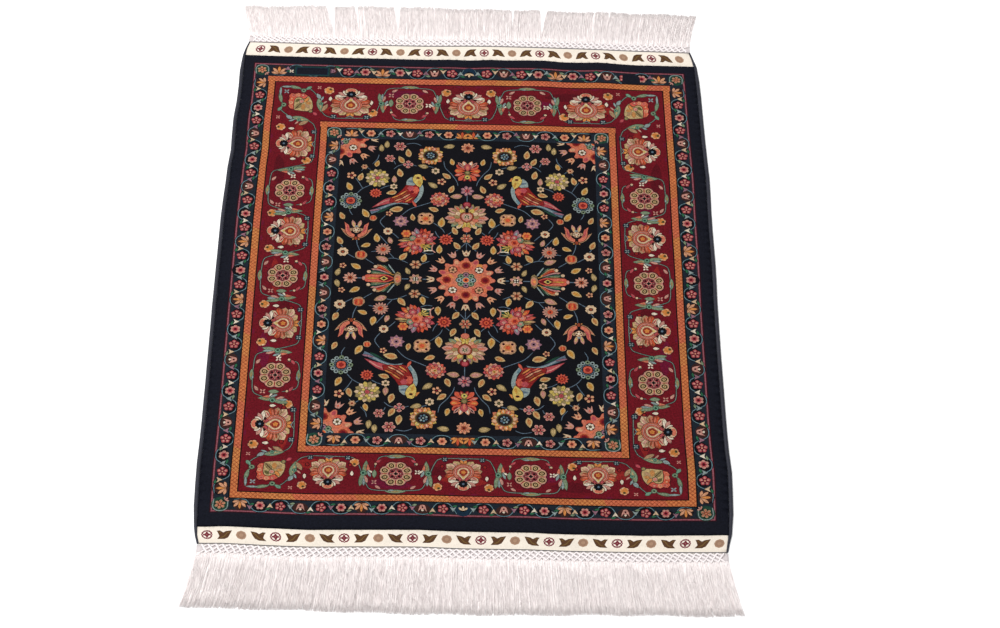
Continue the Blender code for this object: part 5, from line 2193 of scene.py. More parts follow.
@dataclass
class PatternSheet:
    """Cuts a cartoon into coloured triangles over a rectangle of cloth."""

    cartoon: Cartoon
    window: Window
    step: float = 12.0
    rounding: tuple[float, ...] = (0.5, 1.3, 2.6)
    smallest: float = 0.02

    def __post_init__(self) -> None:
        """Cut the drawing up at every outline, and find what lies on top in each triangle."""
        points: list[Vector] = []
        faces: list[list[int]] = []
        owners: list[int] = []
        for number, outline in enumerate(self.cartoon.outlines):
            inside = self.window.clip(outline)
            size = area(inside) if len(inside) > 2 else 0.0
            if abs(size) < self.smallest:
                continue
            if size < 0:
                inside.reverse()
            start = len(points)
            points.extend(Vector(p) for p in inside)
            faces.append(list(range(start, start + len(inside))))
            owners.append(number)
        made = delaunay_2d_cdt(points, [], faces, 0, 0.01, True)
        self.points = np.array([(p.x, p.y) for p in made[0]])
        self.faces = np.array([list(f) for f in made[2]])
        looks = [
            (*linear(*yarn.value), float(number in self.cartoon.hatched))
            for number, yarn in enumerate(self.cartoon.yarns)
        ]
        self.palette = sorted(set(looks))
        rank = {look: number for number, look in enumerate(self.palette)}
        shown = [rank[look] for look in looks]
        self.tops = np.array([shown[owners[max(own)]] if own else shown[0] for own in made[5]])

    def _lines(self) -> np.ndarray:
        """Return the edges where two looks meet, as pairs of points."""
        edges = np.concatenate([self.faces[:, [0, 1]], self.faces[:, [1, 2]], self.faces[:, [2, 0]]])
        edges.sort(axis=1)
        looks = np.tile(self.tops, 3)
        order = np.lexsort((edges[:, 1], edges[:, 0]))
        edges, looks = edges[order], looks[order]
        paired = np.all(edges[:-1] == edges[1:], axis=1)
        same = np.zeros(len(edges), dtype=bool)
        alike = paired & (looks[:-1] == looks[1:])
        same[:-1] |= alike
        same[1:] |= alike
        return np.unique(edges[~same], axis=0)

    def cut(self, straight: float = 0.125) -> CutLayer:
        """Cut the sheet along the lines where two looks meet.

        Args:
            straight: how far a line may stray where its points are thinned out.

        Returns:
            The layer.
        """
        beside: dict[int, set[int]] = {}
        for i, j in self._lines().tolist():
            beside.setdefault(i, set()).add(j)
            beside.setdefault(j, set()).add(i)
        places = {k: tuple(self.points[k].tolist()) for k in beside}
        for middle in sorted(beside):
            if len(beside[middle]) == 2 and self._is_straight(middle, places, beside, straight):
                first, last = beside.pop(middle)
                beside[first].discard(middle)
                beside[last].discard(middle)
                beside[first].add(last)
                beside[last].add(first)
        kept = sorted(k for k in beside if beside[k])
        number_of = {old: new for new, old in enumerate(kept)}
        lines = [(number_of[i], number_of[j]) for i in kept for j in beside[i] if i < j]
        lattice = self.window.rim(self.step)
        for inset in self.rounding:
            lattice += self.window.rim(self.step, inset)
        lattice += self.window.lattice(self.step, self.step)
        every = [Vector(places[k]) for k in kept] + [Vector(p) for p in lattice]
        made = delaunay_2d_cdt(every, lines, [], 0, 0.004, False)
        flat = np.array([(p.x, p.y) for p in made[0]])
        corners = np.array([list(f) for f in made[2]])
        middles = flat[corners].mean(axis=1)
        first_cut = [(x, y, 0.0) for x, y in self.points.tolist()]
        tree = BVHTree.FromPolygons(first_cut, self.faces.tolist())
        found = [tree.find_nearest((x, y, 0.0))[2] for x, y in middles.tolist()]
        own = np.array(self.palette)[self.tops[found]]
        return CutLayer(flat, corners, own[:, :3], own[:, 3])

    def _is_straight(
        self, middle: int, places: dict[int, Point], beside: dict[int, set[int]], straight: float
    ) -> bool:
        """Tell whether a line runs nearly straight through one of its points."""
        first, last = beside[middle]
        if last in beside[first]:
            return False
        (x, y), (u, v), (mx, my) = places[first], places[last], places[middle]
        span = math.hypot(u - x, v - y)
        if not 1e-6 < span < self.step * 1.5:
            return False
        return abs((u - x) * (my - y) - (v - y) * (mx - x)) / span < straight


def area(outline: Sequence[Point]) -> float:
    """Return an outline's signed area."""
    total = 0.0
    for (x, y), (u, v) in zip(outline, list(outline[1:]) + [outline[0]]):
        total += x * v - u * y
    return total / 2


def rim_loop(corners: np.ndarray) -> list[int]:
    """Return the points round the rim of a layer, in its triangles' order."""
    following = {}
    seen = set()
    for i, j, k in corners.tolist():
        for edge in ((i, j), (j, k), (k, i)):
            seen.add(edge)
    for start, end in seen:
        if (end, start) not in seen:
            following[start] = end
    first = next(iter(following))
    loop = [first]
    while following[loop[-1]] != first:
        loop.append(following[loop[-1]])
    return loop


@dataclass
class Cloth:
    """A closed cloth with the pattern on one side and a plain layer on the other."""

    name: str
    layer: CutLayer
    face_up: bool
    finish: bpy.types.Material
    warp: Callable[[np.ndarray], np.ndarray]
    top: Callable[[np.ndarray, np.ndarray], np.ndarray]
    bottom: Callable[[np.ndarray, np.ndarray], np.ndarray]
    attribute: str = "yarn"
    hatch_attribute: str = "stripe"

    def build(self) -> bpy.types.Object:
        """Join the patterned layer, the rim and the plain layer into one mesh."""
        flat, corners = self.layer.flat, self.layer.corners
        loop = rim_loop(corners)
        count, rim = len(flat), len(loop)
        plain_flat, plain = self._plain(loop)
        patterned = self._lifted(flat, self.top if self.face_up else self.bottom)
        other = self._lifted(plain_flat, self.bottom if self.face_up else self.top)
        if self.face_up:
            faces = [corners, plain[:, ::-1] + count]
        else:
            faces = [corners[:, ::-1], plain + count]
        here = np.array(loop)
        after = np.roll(here, -1)
        under = count + np.arange(rim)
        under_after = np.roll(under, -1)
        walls = np.concatenate(
            [np.stack([after, here, under], axis=1), np.stack([after, under, under_after], axis=1)]
        )
        faces.append(walls if self.face_up else walls[:, ::-1])
        every = np.concatenate(faces)
        made = build_mesh(self.name, np.concatenate([patterned, other]) * MM, every, self.finish)
        edge_dye = self.layer.dyes[0]
        rest = np.tile(edge_dye, (len(every) - len(corners), 1))
        paint(made, self.attribute, np.concatenate([self.layer.dyes, rest]))
        hatch = np.concatenate([self.layer.hatch, np.zeros(len(rest))])
        stripe = made.data.attributes.new(self.hatch_attribute, "FLOAT", "FACE")
        stripe.data.foreach_set("value", hatch)
        return made

    def _plain(self, loop: list[int]) -> tuple[np.ndarray, np.ndarray]:
        """Return a coarse layer that has the same rim as the patterned one."""
        flat = self.layer.flat[loop]
        low, high = flat.min(axis=0), flat.max(axis=0)
        window = Window(low[0], high[0], low[1], high[1])
        points = [Vector(p) for p in flat.tolist()]
        points += [Vector(p) for p in window.lattice(16.0, 8.0)]
        faces = [list(range(len(flat)))]
        made = delaunay_2d_cdt(points, [], faces, 1, 1e-5, True)
        placed = np.array([(p.x, p.y) for p in made[0]])
        new_number = {old: new for new, olds in enumerate(made[3]) for old in olds}
        order = [new_number[k] for k in range(len(flat))]
        order += [k for k in range(len(placed)) if k not in set(order)]
        back = np.empty(len(placed), dtype=int)
        back[order] = np.arange(len(placed))
        corners = back[np.array([list(f) for f in made[2]])]
        layer = CutLayer(placed[order], corners, np.zeros((len(corners), 3)), np.zeros(len(corners)))
        return layer.flat, layer.corners

    def _lifted(
        self, flat: np.ndarray, height: Callable[[np.ndarray, np.ndarray], np.ndarray]
    ) -> np.ndarray:
        """Return flat points as places on the cloth, with their heights."""
        placed = self.warp(flat)
        return np.column_stack([placed, height(flat, placed)])


def paint(made: bpy.types.Object, attribute: str, colours: np.ndarray) -> None:
    """Give each face of a mesh its own linear colour, in a colour attribute."""
    sides = np.array([p.loop_total for p in made.data.polygons])
    loops = np.repeat(np.column_stack([colours, np.ones(len(colours))]), sides, axis=0)
    layer = made.data.color_attributes.new(attribute, "FLOAT_COLOR", "CORNER")
    layer.data.foreach_set("color", loops.ravel())


@dataclass
class PilePanel:
    """The knotted pile, with the whole pattern."""

    layout: Layout = field(default_factory=Layout)
    node: str = "pile_panel"
    left: float = -307.6
    right: float = 307.6
    low: float = -386.4
    high: float = 382.2
    ripple: float = 0.22
    ripple_length: float = 23.0
    ripple_reach: float = 22.0
    rounding: float = 2.6
    rim_drop: float = 1.6
    foundation_height: float = 1.0
    back_detail: float = 0.3

    def draw(self) -> Cartoon:
        """Draw the pile's cartoon."""
        cartoon = Cartoon()
        ground = GroundWork(cartoon, self.layout)
        ground.draw_outer()
        outer_ends = (
            Stop.BUD, Stop.ROSE, Stop.TULIP, Stop.ROSE, Stop.FLOWER, Stop.FAN, Stop.FLOWER, Stop.ROSE,
            Stop.TULIP, Stop.ROSE, Stop.FLOWER, Stop.FAN
        )
        outer_sides = (
            Stop.FLOWER, Stop.ROSE, Stop.FAN, Stop.ROSE, Stop.FLOWER, Stop.ROSE, Stop.TULIP, Stop.ROSE,
            Stop.FLOWER, Stop.ROSE, Stop.TULIP, Stop.ROSE, Stop.FLOWER, Stop.ROSE, Stop.FAN
        )
        GuardBorder(cartoon, self.layout, "stripe", "line", outer_ends, outer_sides).draw()
        BarePlaces(cartoon, self.layout).draw()
        ground.draw_stripe("stripe", "main", Yarn.CRIMSON)
        MainBorder(cartoon, self.layout).draw()
        inner = Cartoon()
        inner_ground = GroundWork(inner, self.layout)
        inner_ground.draw_stripe("inner_stripe", "guard", Yarn.SLATE)
        inner_ends = (Stop.TWIN, Stop.FLOWER, Stop.ROSE, Stop.TULIP, Stop.ROSE, Stop.FLOWER, Stop.FAN)
        inner_sides = (
            Stop.FLOWER, Stop.TULIP, Stop.ROSE, Stop.FLOWER, Stop.FAN, Stop.ROSE, Stop.FLOWER,
            Stop.ROSE, Stop.TULIP, Stop.FAN
        )
        field_part = Cartoon()
        field_part.box(
            -self.layout.left.guard,
            self.layout.right.guard,
            -self.layout.bottom.guard,
            self.layout.top.guard,
            Yarn.MIDNIGHT,
        )
        Field(field_part, self.layout).draw()
        GuardBorder(inner, self.layout, "field", "guard", inner_ends, inner_sides).draw()
        self._window(cartoon, inner, field_part)
        return cartoon

    def _window(self, cartoon: Cartoon, frame: Cartoon, inside: Cartoon) -> None:
        """Add the inner frame, and the field cut to show only inside it.

        Args:
            cartoon: the drawing that gets them.
            frame: the inner stripe and the inner guard.
            inside: the field, which may run over its edges.
        """
        cartoon.add(frame)
        lay = self.layout
        window = Window(-lay.left.field, lay.right.field, -lay.bottom.field, lay.top.field)
        cartoon.add(inside, window.clip)

    def top(self, flat: np.ndarray, placed: np.ndarray) -> np.ndarray:
        """Return the pile's height: rounded at the rim, with soft ripples near it."""
        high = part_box(self.node)[1][2] / MM - self.ripple
        side = np.minimum(flat[:, 0] - self.left, self.right - flat[:, 0])
        end = np.minimum(flat[:, 1] - self.low, self.high - flat[:, 1])
        near = np.exp(-((side / self.ripple_reach) ** 2))
        turn = placed[:, 1] / self.ripple_length * math.tau
        wave = np.sin(turn * 0.59 + placed[:, 0] * 0.05) + 0.6 * np.sin(turn * 1.07)
        slow = np.sin(placed[:, 1] / 71.0) * np.sin(placed[:, 0] / 57.0)
        rounded = np.clip(1 - np.minimum(side, end) / self.rounding, 0, 1)
        drop = self.rim_drop * (1 - np.sqrt(1 - rounded**2 * 0.999))
        return high + self.ripple * (0.6 * wave * near + 0.4 * slow) - drop

    def foundation(self, flat: np.ndarray, placed: np.ndarray) -> np.ndarray:
        """Return the height of the woven foundation that the knots stand on."""
        return np.full(len(flat), self.foundation_height)

    def floor(self, flat: np.ndarray, placed: np.ndarray) -> np.ndarray:
        """Return the height of the rug's underside."""
        return np.full(len(flat), 0.0)

    def build(self, shift: float) -> None:
        """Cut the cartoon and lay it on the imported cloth's outline."""
        cartoon = self.draw()
        window = Window(self.left, self.right, self.low, self.high)
        edge = ClothEdge(self.node, shift, self.left, self.right, self.low, self.high)
        sheet = PatternSheet(cartoon, window)
        face = sheet.cut()
        LOG.info("pile: %d outlines, %d triangles", len(cartoon.outlines), len(face.corners))
        finish = SilkPile()
        pile = Cloth("pile", face, True, finish.make(), edge.warp, self.top, self.foundation).build()
        declare_cloth(pile, self.node)
        back = sheet.cut(self.back_detail)
        LOG.info("woven back: %d triangles", len(back.corners))
        woven = Cloth(
            "woven_back", back, False, WovenBack().make(), edge.warp, self.foundation, self.floor
        ).build()
        declare_cloth(woven, self.node)


def declare_cloth(
    piece: bpy.types.Object, node: str, with_pieces: Sequence[bpy.types.Object] = ()
) -> None:
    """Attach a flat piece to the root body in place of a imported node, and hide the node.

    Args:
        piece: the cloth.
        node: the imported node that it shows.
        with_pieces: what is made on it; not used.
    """
    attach(piece, "root")
    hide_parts(node)
    low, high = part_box(node)
    list(with_pieces)


@dataclass
class KilimEnd:
    """A cream flat-woven end with a row of small brocaded motifs."""

    node: str
    outward: int
    first: float
    pitch: float
    distance: float
    count: int = 16
    depth: float = 24.5
    half: float = 306.0
    line_width: float = 1.2
    rosette: float = 6.6

    def draw(self) -> Cartoon:
        """Draw the kilim with X along it and Y out from the pile."""
        cartoon = Cartoon()
        cartoon.box(-self.half, self.half, 0, self.depth, Yarn.KILIM)
        line = self.depth - self.line_width
        cartoon.box(-self.half, self.half, line, self.depth, Yarn.KILIM_LINE)
        for k in range(self.count):
            spot = Pin().at(self.first + self.pitch * k, self.distance)
            if k % 2 == 0:
                self._ring(cartoon, spot)
            else:
                self._disc(cartoon, spot)
            if k < self.count - 1:
                facing = 1 if k % 2 == 0 else -1
                self._wing(cartoon, spot.at(self.pitch / 2, 0, wide=facing))
        return cartoon

    def _ring(self, cartoon: Cartoon, pin: Pin) -> None:
        """Draw the maroon rosette with a cross and pale chips between its arms."""
        cartoon.fill(pin, lobed(self.rosette, 12, 0.07), Yarn.KILIM_MAROON)
        for k in range(4):
            chip = pin.at(0, 0, 45 + 90 * k).at(self.rosette * 0.56, 0, 90)
            cartoon.fill(chip, around(1.05, 8, 2.1), Yarn.KILIM)
            tick = pin.at(0, 0, 90 * k).at(self.rosette * 0.74, 0, 90)
            cartoon.fill(tick, around(0.5, 6, 1.6), Yarn.KILIM)
        cartoon.fill(pin, lobed(1.3, 4, 0.3), Yarn.KILIM_MAROON)
        cartoon.fill(pin, around(0.7, 6), Yarn.KILIM_DISC)

    def _disc(self, cartoon: Cartoon, pin: Pin) -> None:
        """Draw the tan disc with a darker heart."""
        cartoon.fill(pin, lobed(self.rosette * 0.92, 8, 0.06), Yarn.KILIM_TAN)
        cartoon.fill(pin, lobed(self.rosette * 0.7, 8, 0.12, 22), Yarn.KILIM_DISC)
        cartoon.fill(pin, around(self.rosette * 0.38, 8), Yarn.KILIM_TAN)

    def _wing(self, cartoon: Cartoon, pin: Pin) -> None:
        """Draw the brown motif: two horns towards the pile, and a foot that leans to the ring."""
        horn = [(-8.6, -5.2), (-4.8, -5.6), (-0.8, -2.9), (2.4, -5.0), (9.2, -6.2)]
        foot = [(6.8, -0.6), (4.4, 4.0), (0.2, 6.3), (-8.6, 6.6), (-5.4, 2.4), (-6.8, -1.8)]
        cartoon.fill(pin, horn + foot, Yarn.KILIM_BROWN)
        vein = [(-4.6, 4.6), (0.2, 2.4), (3.6, -2.4), (7.0, -4.2)]
        cartoon.stroke(pin, vein, 1.1, Yarn.KILIM_GOLD, None, 2)
        cartoon.stroke(pin, [(-6.4, -4.0), (-2.6, -1.6)], 0.9, Yarn.KILIM_GOLD, None, 2)

    def warp(self, flat: np.ndarray) -> np.ndarray:
        """Return the kilim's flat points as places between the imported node's edges."""
        reader = EdgeReader(self.node)
        low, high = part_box(self.node)
        inset = 8.0
        ys = np.linspace(low[1] / MM + inset * 0.6, high[1] / MM - inset * 0.6, 25)
        ends = np.array([reader.span(1, y, 0) for y in ys])
        xs = np.linspace(low[0] / MM + inset, high[0] / MM - inset, 101)
        spans = np.array([reader.span(0, x, 1) for x in xs])
        near, far = (spans[:, 0], spans[:, 1]) if self.outward > 0 else (spans[:, 1], spans[:, 0])
        share = flat[:, 1] / self.depth
        along = (flat[:, 0] + self.half) / (2 * self.half)
        x = flat[:, 0]
        for _ in range(2):
            y_near, y_far = np.interp(x, xs, near), np.interp(x, xs, far)
            y = y_near + share * (y_far - y_near)
            left, right = np.interp(y, ys, ends[:, 0]), np.interp(y, ys, ends[:, 1])
            x = left + along * (right - left)
        return np.column_stack([x, y])

    def top(self, flat: np.ndarray, placed: np.ndarray) -> np.ndarray:
        """Return the kilim's height, with soft puckers where the pile draws it in."""
        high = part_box(self.node)[1][2] / MM
        pucker = np.sin(placed[:, 0] / 9.0) + 0.7 * np.sin(placed[:, 0] / 4.3 + 1.0)
        return high - 0.35 + 0.1 * pucker * (1 - flat[:, 1] / self.depth)

    def floor(self, flat: np.ndarray, placed: np.ndarray) -> np.ndarray:
        """Return the height of the kilim's underside."""
        return np.zeros(len(flat))

    def build(self, fringe: Sequence[bpy.types.Object]) -> None:
        """Cut the pattern and lay it between the pile and the fringe."""
        window = Window(-self.half, self.half, 0, self.depth)
        layer = PatternSheet(self.draw(), window, step=5.0, rounding=(0.6,)).cut()
        finish = KilimWeave().make()
        piece = Cloth(
            self.node + "_weave", layer, True, finish, self.warp, self.top, self.floor
        ).build()
        if self.outward < 0:
            piece.data.flip_normals()
        declare_cloth(piece, self.node, fringe)


@dataclass
class Selvedge:
    """A side cord, wrapped closely with dark silk."""

    node: str
    wrap: float = 1.5
    sides: int = 10
    steps_per_wrap: int = 3
    ridge: float = 0.09
    tuck: float = 0.4

    def build(self) -> None:
        """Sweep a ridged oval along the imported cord."""
        reader = EdgeReader(self.node)
        low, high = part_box(self.node)
        start, stop = low[1] / MM + 0.3, high[1] / MM - 0.3
        known = np.linspace(start, stop, 220)
        spans = np.array([reader.span(1, y, 0) + reader.span(1, y, 2) for y in known])
        count = int((stop - start) / self.wrap * self.steps_per_wrap)
        ys = np.linspace(start, stop, count)
        left, right, _, top = (np.interp(ys, known, spans[:, k]) for k in range(4))
        if left.mean() < 0:
            right = right + self.tuck
        else:
            left = left - self.tuck
        rng = np.random.default_rng(5)
        places = []
        for k, y in enumerate(ys):
            swell = 1 - self.ridge * (1 - math.cos(math.tau * k / self.steps_per_wrap)) / 2
            swell *= 1 - 0.04 * float(rng.random())
            if k in (0, count - 1):
                swell *= 0.55
            for side in range(self.sides):
                angle = math.tau * side / self.sides
                wide = (right[k] - left[k]) / 2 * swell * math.cos(angle)
                tall = top[k] / 2 * (1 + swell * math.sin(angle))
                lean = 0.35 * math.cos(angle)
                places.append(((left[k] + right[k]) / 2 + wide, y + lean, tall))
        made = tube_mesh(self.node + "_wrap", [(np.array(places), self.sides)], self._finish())
        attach(made, "root")
        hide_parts(self.node)

    def _finish(self) -> bpy.types.Material:
        """Return the wrapping's finish."""
        return Thread(
            "selvedge_wrapping", linear(30, 32, 48), linear(13, 13, 20), 0.6, 0.08, (90, 380, 90)
        ).make()


def tube_mesh(
    name: str, rings: Sequence[tuple[np.ndarray, int]], finish: bpy.types.Material
) -> bpy.types.Object:
    """Make one mesh of closed tubes.

    Args:
        name: the piece's name.
        rings: for each tube its points in millimetres, ring by ring, and its number of sides.
        finish: its material.

    Returns:
        The object.
    """
    places, faces, start = [], [], 0
    patterns: dict[tuple[int, int], np.ndarray] = {}
    for points, sides in rings:
        key = (len(points), sides)
        if key not in patterns:
            patterns[key] = tube_faces(len(points) // sides, sides)
        places.append(points)
        faces.append(patterns[key] + start)
        start += len(points)
    return build_mesh(name, np.concatenate(places) * MM, np.concatenate(faces), finish)


def tube_faces(count: int, sides: int) -> np.ndarray:
    """Return the triangles of one closed tube of rings."""
    faces = []
    for k in range(count - 1):
        for side in range(sides):
            a, b = k * sides + side, k * sides + (side + 1) % sides
            faces.append((a, b, b + sides))
            faces.append((a, b + sides, a + sides))
    last = (count - 1) * sides
    for side in range(1, sides - 1):
        faces.append((0, side + 1, side))
        faces.append((last, last + side, last + side + 1))
    return np.array(faces)


def tube(path: np.ndarray, radius: float | np.ndarray, sides: int, turn: float) -> np.ndarray:
    """Return the points of a tube round a path that lies nearly flat.

    Args:
        path: one row of x, y and z for each ring.
        radius: the tube's radius, or one for each ring.
        sides: how many sides it has.
        turn: where the first side is, in turns.

    Returns:
        The points, ring by ring.
    """
    ahead = np.gradient(path[:, :2], axis=0)
    ahead /= np.maximum(np.linalg.norm(ahead, axis=1, keepdims=True), 1e-9)
    angles = math.tau * (np.arange(sides) / sides + turn)
    wide = np.cos(angles)[None, :] * np.reshape(radius, (-1, 1))
    tall = np.sin(angles)[None, :] * np.reshape(radius, (-1, 1))
    x = path[:, 0:1] - ahead[:, 1:2] * wide
    y = path[:, 1:2] + ahead[:, 0:1] * wide
    z = path[:, 2:3] + tall
    return np.stack([x, y, z], axis=2).reshape(-1, 3)


@dataclass
class Fringe:
    """A fringe: a heading of knotted diamonds and the loose tassels under it."""

    node: str
    outward: int
    seed: int
    wave: float
    columns: int = 74
    rows: int = 3
    net_depth: float = 12.0
    strands: int = 34
    segments: int = 7
    strand_radius: float = 0.3
    yarn_radius: float = 0.95
    partings: tuple[tuple[float, float], ...] = ()
    lean: float = 0.7
    ragged: float = 1.6
    longer: tuple[float, float] = (0.0, 0.0)

    def __post_init__(self) -> None:
        """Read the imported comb's outline."""
        self.rng = random.Random(self.seed)
        reader = EdgeReader(self.node)
        low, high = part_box(self.node)
        self.left, self.right = low[0] / MM, high[0] / MM
        self.top = high[2] / MM
        self.xs = np.linspace(self.left + 0.3, self.right - 0.3, 1300)
        spans = np.array([reader.span(0, x, 1) for x in self.xs])
        if self.outward < 0:
            spans = spans[:, ::-1]
        self.foot, self.tips = spans[:, 0], spans[:, 1]
        beyond = np.abs(self.foot - np.median(self.foot)) > 9.0
        inner = self.xs[~beyond]
        self.foot_left, self.foot_right = float(inner[0]), float(inner[-1])
        self.foot = np.interp(self.xs, self.xs[~beyond], self.foot[~beyond])
        self.whole = self._without_partings()

    def _without_partings(self) -> np.ndarray:
        """Return the line of the tips as it would be without its partings."""
        reach = self.tips * self.outward
        window = 60
        return self.outward * np.array(
            [reach[max(0, k - window) : k + window + 1].max() for k in range(len(reach))]
        )

    def _base(self, x: float) -> float:
        """Return where the kilim ends at a place along the fringe."""
        return float(np.interp(x, self.xs, self.foot))

    def build(self) -> list[bpy.types.Object]:
        """Make the net, the tassels, and the darker sheet of painted shade under the net."""
        finish = Thread(
            "fringe_silk", linear(249, 242, 240), linear(221, 211, 210), 0.6, 0.1, (320, 90, 120)
        ).make()
        # painted shade: darker silk for the flat sheet under the net, which stands in for the shade
        # between its yarns
        shade = Thread(
            "fringe_silk_under", linear(206, 198, 198), linear(176, 168, 168), 0.7, 0.0, (500, 30, 90)
        ).make()
        # the net's cord is the fringe's own silk made darker, as painted shade among the net's yarns
        cord = Thread(
            "fringe_silk_cord_painted_shade", linear(238, 231, 230), linear(208, 200, 200), 0.6, 0.1, (300, 300, 90)
        ).make()
        net = tube_mesh(self.node + "_net", self._net(), cord)
        tassels = tube_mesh(self.node + "_tassels", self._tassels(), finish)
        # the sheet of painted shade under the net
        under = tube_mesh(self.node + "_under", self._under(), shade)
        for piece in (net, tassels, under):
            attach(piece, "root")
            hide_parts(self.node)
        return [net, tassels, under]

    def _knot(self, row: int, column: float) -> tuple[float, float]:
        """Return the place of a knot of the net, or where a yarn leaves the kilim for row -1."""
        pitch = (self.foot_right - self.foot_left - 5.0) / self.columns
        x = self.foot_left + 2.5 + pitch * (column + 0.5)
        x *= 1 + 0.006 * (row + 1)
        out = 0.3 if row < 0 else self.net_depth * (row + 0.95) / self.rows
        return x, self._base(x) + self.outward * out

    def _net(self) -> list[tuple[np.ndarray, int]]:
        """Return the tubes of the knotted heading."""
        tubes = []
        middle = self.top * 0.5
        for row in range(self.rows):
            shift = 0.0 if row % 2 == 0 else 0.5
            count = self.columns if row % 2 == 0 else self.columns - 1
            for column in range(count):
                jitter = (self.rng.uniform(-0.7, 0.7), self.rng.uniform(-0.6, 0.6))
                x, y = self._knot(row, column + shift)
                x, y = x + jitter[0], y + jitter[1]
                tubes.append((self._bead(x, y, middle), 6))
                for hand in (-0.5, 0.5):
                    sx, sy = self._knot(row - 1, column + shift + hand)
                    for twist in (-0.42, 0.42):
                        path = self._yarn((sx, sy), (x, y), middle, twist)
                        made = tube(path, self.yarn_radius, 5, 0.125)
                        made[:, 2] = np.clip(made[:, 2], 0.05, self.top)
                        tubes.append((made, 5))
        return tubes

    def _yarn(self, start: Point, end: Point, middle: float, twist: float) -> np.ndarray:
        """Return the path of one yarn of a diamond's side."""
        shares = np.linspace(0, 1, 5)
        x = start[0] + (end[0] - start[0]) * shares
        y = start[1] + (end[1] - start[1]) * shares
        bow = np.sin(shares * math.pi) * twist
        z = middle + 0.2 * math.copysign(1, twist) * np.sin(shares * math.pi)
        return np.column_stack([x + bow, y + bow * 0.3, z])

    def _bead(self, x: float, y: float, middle: float) -> np.ndarray:
        """Return one knot as a small round tube."""
        steps = np.array([-1.4, -0.9, 0.0, 0.9, 1.4])
        radii = np.array([0.5, 1.15, 1.45, 1.15, 0.5]) * self.rng.uniform(0.88, 1.05)
        lean = self.rng.uniform(-0.25, 0.25)
        path = np.column_stack([x + steps * lean, y + steps * self.outward, np.full(5, middle)])
        points = tube(path, radii, 6, 0.0)
        points[:, 2] = np.clip(points[:, 2], 0.05, self.top + 0.2)
        return points

    def _tip(self, x: float) -> tuple[float, float]:
        """Return where the tip of a strand that leaves the net at x ends up."""
        width = self.foot_right - self.foot_left
        share = (x - self.foot_left) / width
        even = self.left + share * (self.right - self.left)
        moved = even
        for place, gap in self.partings:
            away = even - place
            moved += math.copysign(gap, away) * math.exp(-abs(away) / 16.0)
        longer = self.longer[0] + (self.longer[1] - self.longer[0]) * share
        tip = float(np.interp(moved, self.xs, self.whole))
        return moved, tip + self.outward * (longer + 0.8 * math.sin(even / 13.0))

    def _bundle(self, column: int, from_net: bool) -> tuple[np.ndarray, int]:
        """Return a flat bundle of silk that fills in under one knot's yarns or strands.

        Args:
            column: the knot's number along the fringe.
            from_net: True under the net, False under the loose strands.

        Returns:
            The tube's points and the number of its sides.
        """
        kx, ky = self._knot(self.rows - 1, column)
        pitch = (self.foot_right - self.foot_left) / self.columns
        tip_x, tip_y = self._tip(kx)
        if from_net:
            shares = np.array([0.0, 0.5, 1.0])
            foot = self._base(kx) + self.outward * 0.5
            x, y = np.full(3, kx), foot + (ky + self.outward * 2.0 - foot) * shares
            half, top = np.full(3, pitch * 0.52), 0.34
        else:
            shares = np.array([0.0, 0.2, 0.4, 0.6, 0.8, 0.95])
            x, y = kx + (tip_x - kx) * shares**1.3, ky + (tip_y - ky) * shares
            half, top = np.array([0.56, 0.58, 0.58, 0.58, 0.56, 0.46]) * pitch, 0.55
        corners = np.array([(-1, 0.06), (1, 0.06), (0.9, top), (-0.9, top)])
        rings = [
            np.column_stack([here + corners[:, 0] * wide, np.full(4, there), corners[:, 1]])
            for here, there, wide in zip(x, y, half)
        ]
        return np.concatenate(rings), 4

    def _under(self) -> list[tuple[np.ndarray, int]]:
        """Return the flat bundles under the net, whose darker silk is painted shade between its yarns.
        """
        return [self._bundle(column, True) for column in range(self.columns)]

    def _tassels(self) -> list[tuple[np.ndarray, int]]:
        """Return the tubes of the loose strands, spread evenly along the fringe."""
        tubes = [self._bundle(column, False) for column in range(self.columns)]
        row = self.rows - 1
        first, last = self._knot(row, -0.5)[0], self._knot(row, self.columns - 0.5)[0]
        total = self.columns * self.strands
        leans = [self.rng.uniform(-self.lean, self.lean) for _ in range(self.columns)]
        for k in range(total):
            share = min(max((k + self.rng.uniform(-1.2, 1.2)) / total, 0.0), 1.0)
            column = min(int(share * self.columns), self.columns - 1)
            kx, ky = self._knot(row, column)
            home = first + (last - first) * share
            tubes.append((self._strand(kx, ky, home, leans[column]), 3))
        return tubes

    def _strand(self, kx: float, ky: float, home: float, lean: float) -> np.ndarray:
        """Return one loose strand from a knot to its tip.

        Args:
            kx: the knot's place along the fringe.
            ky: the knot's place out from the rug.
            home: the strand's own even place along the fringe.
            lean: how far the tips of its knot's strands lean together.

        Returns:
            The tube's points.
        """
        rng = self.rng
        tip_x, tip_y = self._tip(home)
        tip_x += lean + rng.gauss(0, 0.9)
        short = abs(rng.gauss(0, self.ragged)) + (rng.random() < 0.08) * rng.uniform(2, 9)
        tip_y -= self.outward * short
        shares = np.linspace(0, 1, self.segments + 1) ** 1.25
        start = kx + (home - kx) * 0.8
        opened = 1 - np.exp(-shares * 8.0)
        x = start + (home - start) * opened + (tip_x - home) * shares**1.3
        y = ky - self.outward * 1.0 + (tip_y - ky + self.outward * 1.0) * shares
        phase, rate = rng.random() * math.tau, rng.uniform(1.2, 3.4)
        amount = self.wave * rng.uniform(0.2, 1.0)
        x = x + amount * np.sin(phase + rate * math.tau * shares) * np.sqrt(shares)
        level = rng.uniform(0.6, self.top - 0.1)
        z = self.top * 0.4 + (level - self.top * 0.4) * np.minimum(1, shares * 4)
        radius = self.strand_radius * rng.uniform(0.85, 1.3) * (1 - 0.3 * shares)
        return tube(np.column_stack([x, y, z]), radius, 3, rng.random())


